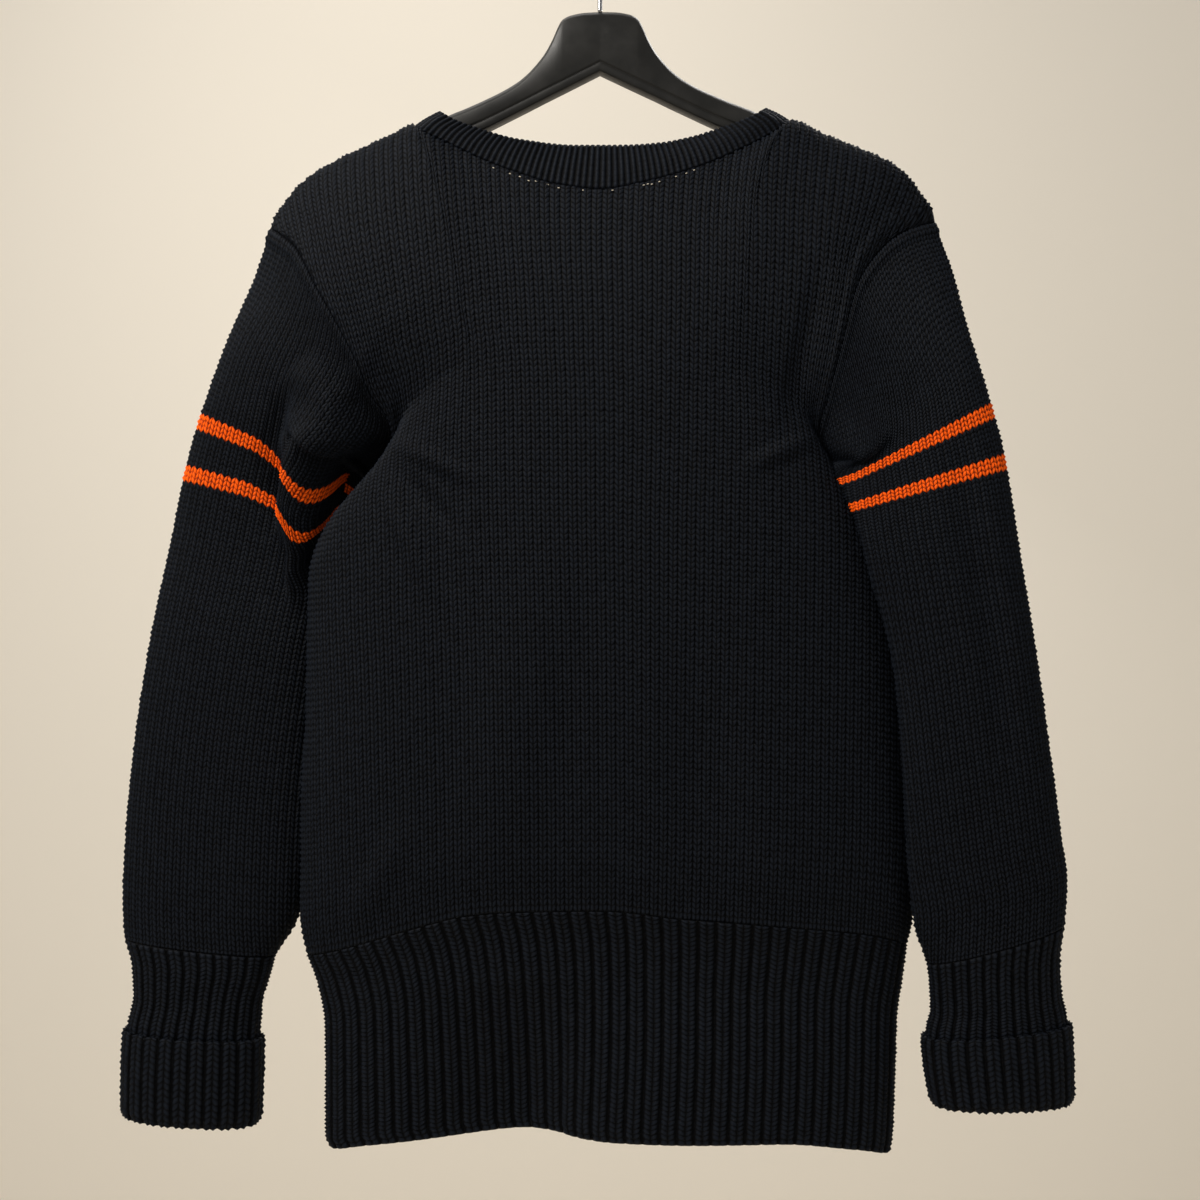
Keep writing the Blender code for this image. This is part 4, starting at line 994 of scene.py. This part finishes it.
def knit_panel(side, sizes):
    """Back (side -1) or front (side 1) in stockinette, its rows cut by the shoulders and the neck."""

    def rows_at(u):
        return (top_line(side, u)[1] - seam_height(across(u))) / (sizes.body_row / MM)

    def ridge(u, v, row):
        edge = (1 - np.abs(u)) * EDGE_REACH
        rise = ease((v - UNDERARM - RIDGE_RISE_AT) / RIDGE_RISE)
        there = rise * (1 - RIDGE_SINK_SHARE * ease((v - RIDGE_SINK_AT) / RIDGE_SINK))
        return SEAM_RIDGE * hump(edge - SEAM_RIDGE_AT, SEAM_RIDGE_REACH) * there

    def pitch(v):
        return read(BODY_PITCH, "v", "pitch", np.array(v))

    return knit(
        pick(side, "knit_back", "knit_front"), flat_face(partial(panel, side)), BODY_WALES, STOCKINETTE,
        BODY_ROWS, sizes.stitch_height / MM, rows_at, pitch, outward=-side, bulge=ridge,
        seed=pick(side, 11, 12),
    )


def knit_welt(side, sizes):
    """Broad rib welt: one raised wale and one sunk wale in turn, its bottom edge scalloped by the ribs."""
    return knit(
        pick(side, "rib_welt_back", "rib_welt_front"), flat_face(partial(welt, side)), WELT_RIBS, BROAD_RIB,
        WELT_ROWS, sizes.rib_height / MM, outward=-side, ends=0.5, seed=pick(side, 21, 22), lean=RIB_LEAN,
    )


def knit_sleeve(hand, sizes):
    """Sleeve in stockinette, its wales let in along the underarm seam as it narrows."""

    def ridge(turn, v, row):
        return SEAM_RIDGE * hump(row - SLEEVE_RIDGE_ROW, SLEEVE_RIDGE_REACH)

    def pitch(v):
        return pick(hand, LEFT_SLEEVE_PITCH, RIGHT_SLEEVE_PITCH)

    return knit(
        pick(hand, "knit_sleeve_left", "knit_sleeve_right"), round_face(partial(sleeve, hand)),
        SLEEVE_WALES, STOCKINETTE, SLEEVE_ROWS, sizes.stitch_height / MM, pitch=pitch, outward=-hand,
        bulge=ridge, seed=pick(hand, 31, 32),
    )


def knit_cuff(hand, sizes):
    """Ribbed cuff with its lower band turned back up over it."""
    return knit(
        pick(hand, "rib_cuff_left", "rib_cuff_right"), round_face(partial(cuff, hand)), CUFF_RIBS,
        BROAD_RIB, CUFF_ROWS, sizes.rib_height / MM, outward=-hand, inner_wales=1, seed=pick(hand, 41, 42),
        lean=RIB_LEAN, ends=0.25, lining=partial(cuff_lining, hand),
    )


def knit_neckband(sizes):
    """Ribbed band round the neck, its free edge scalloped by the ribs."""
    return knit(
        "rib_neckband", round_face(neckband), NECK_RIBS, NECK_RIB, NECK_ROWS, sizes.neck_rib_height / MM,
        seed=51, lean=NECK_LEAN, ends=0.8,
    )


def hanger_edges(x):
    """Top and underside of the hanger at places along it; under the cloth it follows the shoulders."""
    top = curve(column(HANGER, "x"), column(HANGER, "top"), np.abs(x))
    low = curve(column(HANGER, "x"), column(HANGER, "bottom"), np.abs(x)) + HANGER_TILT * x
    before, ridge, after = (read(SHOULDER, "x", "z", x + off) for off in (-1.0, 0.0, 1.0))
    under_cloth = ridge - (WALL + HANGER_REST) * np.hypot(1.0, (after - before) / 2)
    under_cloth -= HANGER_END_DROP * ease((np.abs(x) - HANGER_DROP_AT) / HANGER_DROP_REACH)
    covered = ease((np.abs(x) - NECK_JOIN_BACK[-1].x + COVER_LEAD) / COVER_REACH)
    return (top + HANGER_TILT * x) * (1 - covered) + under_cloth * covered, low


def mould_hanger():
    """Flat moulded hanger: rounded top edge, a groove along each face and a proud strip at its foot.

    At each station along it the face's profile is drawn between the top and the underside, and again
    on the other face.
    """
    arm = np.linspace(HANGER_HEAD, HANGER_HALF_LENGTH, HANGER_ARM_STATIONS)
    head = np.linspace(2 - HANGER_HEAD, HANGER_HEAD - 2, HANGER_HEAD_STATIONS)
    x = np.concatenate([-arm[::-1], head, arm])
    top, low = hanger_edges(x)
    tall = top - low
    front = []
    for point in HANGER_FACE:
        if point.from_foot:
            z = low + np.minimum(point.off, tall * HANGER_FOOT_SHARE)
        else:
            z = top - np.minimum(point.off, tall * HANGER_EDGE_SHARE)
        front.append((point.share * HANGER_HALF_THICKNESS, z))
    outline = front + [(-y, z) for y, z in front[-2:0:-1]] + front[:1]
    rings = np.stack([np.stack([x, np.full_like(x, y), z], -1) for y, z in outline], 1)
    return capped("moulded_hanger", rings)


def bend_hook():
    """Round wire hook: straight stem, a bend aside and a loop, its tip rounded."""
    radius = HOOK_INNER_RADIUS + HOOK_WIRE_RADIUS
    angles = np.radians(np.linspace(*HOOK_TURN, HOOK_LOOP_STATIONS))
    loop = np.stack([radius * np.cos(angles), radius * np.sin(angles) - HOOK_INNER_RADIUS], -1)
    knots = np.concatenate([np.array(HOOK_STEM), loop[:1]])
    chord = np.concatenate([[0], np.cumsum(np.linalg.norm(np.diff(knots, axis=0), axis=1))])
    at = np.linspace(0, chord[-1], HOOK_STEM_STATIONS)[:-1]
    lower = np.stack([curve(chord, knots[:, 0], at), curve(chord, knots[:, 1], at)], -1)
    flat = np.concatenate([lower, loop])
    path = np.stack([flat[:, 0], np.zeros(len(flat)), flat[:, 1]], -1)
    thick = np.full(len(path), HOOK_WIRE_RADIUS)
    thick[-3:] *= HOOK_TIP
    return capped("wire_hook", tube(path, thick, HOOK_SIDES))


def beads(name, centres, along, square, long, wide):
    """Many small closed ellipsoids in one object, each lying along its own direction.

    A point of one is its centre plus long times the sine of the rise along it, and wide times the
    cosine of the rise round it.
    """
    turns = np.linspace(0, 2 * np.pi, BEAD_TURNS)
    rises = np.linspace(-np.pi / 2, np.pi / 2, BEAD_RISES)
    axes = np.stack([wide * np.cross(square, along), wide * square, long * along], 1)
    shape = np.stack([
        np.outer(np.cos(rises), np.cos(turns)), np.outer(np.cos(rises), np.sin(turns)),
        np.outer(np.sin(rises), np.ones(len(turns))),
    ], -1)
    points = centres[:, None, None] + np.einsum("rtk,nkj->nrtj", shape, axes)
    ids = np.arange(len(turns) * len(rises)).reshape(len(rises), len(turns))
    faces = [strips(ids) + i * ids.size for i in range(len(centres))]
    return fill_mesh(name, points.reshape(-1, 3), np.concatenate(faces))


def neck_stitches():
    """Pale sewing stitches that show between the back and the neckband, unevenly spaced along the join."""
    random = np.random.default_rng(7)
    count = len(NECK_STITCH_X)
    x = np.array(NECK_STITCH_X) + random.uniform(-NECK_STITCH_SHIFT, NECK_STITCH_SHIFT, count)
    back = partial(panel, -1)
    along = np.linspace(-1, 1, JOIN_SAMPLES)
    u = np.interp(x, back(along, np.ones(JOIN_SAMPLES))[:, 0], along)
    v = 1 - random.uniform(NECK_STITCH_LOW, NECK_STITCH_HIGH, count)
    square = facing(flat_face(back), u, v)
    ahead = unit(back(u + JOIN_STEP, v) - back(u - JOIN_STEP, v))
    centres = back(u, v) + NECK_STITCH_STANDS * square
    return beads("neck_stitches", centres, ahead, square, NECK_STITCH_HALF_LENGTH, NECK_STITCH_HALF_WIDTH)


# Operators


def length(name, description, default):
    """Setting for a length in metres."""
    return bpy.props.FloatProperty(
        name=name, description=description, default=default, subtype="DISTANCE", unit="LENGTH",
    )


def count_of_rows(name, description, default):
    """Setting that counts knitted rows."""
    return bpy.props.FloatProperty(name=name, description=description, default=default, subtype="UNSIGNED")


def colour(name, description, default):
    """Setting for a colour with alpha."""
    return bpy.props.FloatVectorProperty(
        name=name, description=description, size=4, min=0, max=1, subtype="COLOR", default=linear(default),
    )


class SweaterSettings(bpy.types.PropertyGroup):
    """Sizes and colours of the sweater."""

    stitch_height: length("Stitch height", "How far a stockinette stitch stands out of the cloth", 0.0012)
    rib_height: length("Rib height", "How far a rib stands above its middle level", 0.0013)
    neck_rib_height: length("Neck rib height", "How far a rib of the neckband stands up", 0.0009)
    body_row: length("Body row", "Height of one knitted row of the body", 0.0038)
    first_stripe: count_of_rows("First stripe", "Row of the sleeve where the upper stripe starts", 36.0)
    second_stripe: count_of_rows("Second stripe", "Row of the sleeve where the lower stripe starts", 46.0)
    stripe_rows: count_of_rows("Stripe rows", "Knitted rows in a stripe", 3.0)
    wool_colour: colour("Wool", "Colour of the wool where light reaches it", "#11151C")
    stripe_colour: colour("Stripes", "Colour of the stripes' wool where light reaches it", "#F25A0A")
    key_light: bpy.props.FloatProperty(
        name="Key light", description="Power of the main lamp", default=60.0, subtype="POWER", unit="POWER",
    )


def hang(knitted, sizes, kind, node):
    settle(knitted, wool(sizes, kind), "wool", node)


def hang_pair(sizes, knitter, kind, nodes):
    """Knits and hangs the back and the front, or the left and the right, of a kind of piece."""
    for side, node in zip((-1, 1), nodes):
        hang(knitter(side, sizes), sizes, kind, node)


class SWEATER_OT_body(bpy.types.Operator):
    """Knit the back and the front of the body"""

    bl_idname = "sweater.body"
    bl_label = "Knit body"

    def execute(self, context):
        nodes = ("back_panel", "front_panel")
        hang_pair(context.scene.sweater, knit_panel, "plain", nodes)
        return {"FINISHED"}


class SWEATER_OT_welts(bpy.types.Operator):
    """Knit the ribbed welts under the back and the front"""

    bl_idname = "sweater.welts"
    bl_label = "Knit welts"

    def execute(self, context):
        nodes = ("back_welt", "front_welt")
        hang_pair(context.scene.sweater, knit_welt, "broad_rib", nodes)
        return {"FINISHED"}


class SWEATER_OT_sleeves(bpy.types.Operator):
    """Knit both sleeves with their two stripes"""

    bl_idname = "sweater.sleeves"
    bl_label = "Knit sleeves"

    def execute(self, context):
        nodes = ("left_sleeve", "right_sleeve")
        hang_pair(context.scene.sweater, knit_sleeve, "striped", nodes)
        return {"FINISHED"}


class SWEATER_OT_cuffs(bpy.types.Operator):
    """Knit both ribbed cuffs with their turned-back bands"""

    bl_idname = "sweater.cuffs"
    bl_label = "Knit cuffs"

    def execute(self, context):
        nodes = ("left_cuff", "right_cuff")
        hang_pair(context.scene.sweater, knit_cuff, "broad_rib", nodes)
        return {"FINISHED"}


class SWEATER_OT_neckband(bpy.types.Operator):
    """Knit the ribbed neckband and sew it to the back"""

    bl_idname = "sweater.neckband"
    bl_label = "Knit neckband"

    def execute(self, context):
        sizes = context.scene.sweater
        hang(knit_neckband(sizes), sizes, "neck_rib", "neckband")
        thread = plain_material("undyed_sewing_thread", linear("#B9AE9C"), 0.8)
        settle(neck_stitches(), thread, "wool")
        return {"FINISHED"}


class SWEATER_OT_hanger(bpy.types.Operator):
    """Mould the hanger and bend its hook"""

    bl_idname = "sweater.hanger"
    bl_label = "Make hanger"

    def execute(self, context):
        settle(mould_hanger(), hanger_plastic("moulded_plastic"), "hanger_plastic", "hanger_body")
        settle(bend_hook(), plated_wire("plated_steel_wire"), "hook_steel", "hanger_hook")
        return {"FINISHED"}


def plane(row):
    """Flat piece of the room: its corner, and that corner moved across, across and up, and up."""
    corner, over, up = np.array(row.corner), np.array(row.across), np.array(row.up)
    corners = [tuple(place) for place in (corner, corner + over, corner + over + up, corner + up)]
    mesh = bpy.data.meshes.new(row.name)
    mesh.from_pydata(corners, [], [(0, 1, 2, 3)])
    piece = bpy.data.objects.new(row.name, mesh)
    bpy.context.scene.collection.objects.link(piece)
    piece.data.materials.append(plain_material(row.name + "_paint", linear(WALL_PAINT), 0.9))
    return piece


def area_lamp(row, power):
    """Square lamp of the table, turned to its target."""
    data = bpy.data.lights.new(row.name, "AREA")
    data.size = row.size
    data.energy = power * row.share
    data.color = row.colour
    lamp = bpy.data.objects.new(row.name, data)
    lamp.location = row.place
    way = np.array(row.target) - np.array(row.place)
    lamp.rotation_euler = (
        math.atan2(math.hypot(way[0], way[1]), -way[2]), 0.0, math.atan2(way[1], way[0]) - math.pi / 2
    )
    bpy.context.scene.collection.objects.link(lamp)
    return lamp


class SWEATER_OT_stage(bpy.types.Operator):
    """Set the pale room, its soft light and the camera"""

    bl_idname = "sweater.stage"
    bl_label = "Set stage"

    def execute(self, context):
        power = context.scene.sweater.key_light
        [plane(row) for row in ROOM]
        [area_lamp(row, power) for row in LAMPS]
        room = bpy.data.worlds.new("pale_room")
        room.use_nodes = True
        sky = room.node_tree.nodes["Background"]
        sky.inputs["Color"].default_value = linear(SKY)
        sky.inputs["Strength"].default_value = SKY_STRENGTH
        context.scene.world = room
        lens_data = bpy.data.cameras.new("photo_camera")
        lens_data.lens = CAMERA_LENS
        lens_data.sensor_width = CAMERA_SENSOR
        camera = bpy.data.objects.new("photo_camera", lens_data)
        camera.location = CAMERA_PLACE
        camera.rotation_euler = (math.pi / 2, 0.0, 0.0)
        context.scene.collection.objects.link(camera)
        context.scene.camera = camera
        context.scene.view_settings.view_transform = "Standard"
        return {"FINISHED"}


STEPS = (
    SWEATER_OT_body, SWEATER_OT_welts, SWEATER_OT_sleeves, SWEATER_OT_cuffs, SWEATER_OT_neckband,
    SWEATER_OT_hanger, SWEATER_OT_stage,
)


class SWEATER_PT_sidebar(bpy.types.Panel):
    """Sizes, colours and steps of the sweater."""

    bl_idname = "SWEATER_PT_sidebar"
    bl_label = "Varsity sweater"
    bl_space_type = "VIEW_3D"
    bl_region_type = "UI"
    bl_category = "Sweater"

    def draw(self, context):
        sizes = context.scene.sweater
        for name in SweaterSettings.__annotations__:
            self.layout.prop(sizes, name)
        for step in STEPS:
            self.layout.operator(step.bl_idname)


def register():
    """Make the settings, the operators and the sidebar known to Blender."""
    for made in (SweaterSettings, *STEPS, SWEATER_PT_sidebar):
        bpy.utils.register_class(made)
    bpy.types.Scene.sweater = bpy.props.PointerProperty(type=SweaterSettings)


def unregister():
    """Take them back."""
    del bpy.types.Scene.sweater
    for made in (SWEATER_PT_sidebar, *reversed(STEPS), SweaterSettings):
        bpy.utils.unregister_class(made)


def main():
    """Run every step in order."""
    register()
    bpy.ops.sweater.body()
    bpy.ops.sweater.welts()
    bpy.ops.sweater.sleeves()
    bpy.ops.sweater.cuffs()
    bpy.ops.sweater.neckband()
    bpy.ops.sweater.hanger()
    bpy.ops.sweater.stage()


if __name__ == "__main__":
    main()
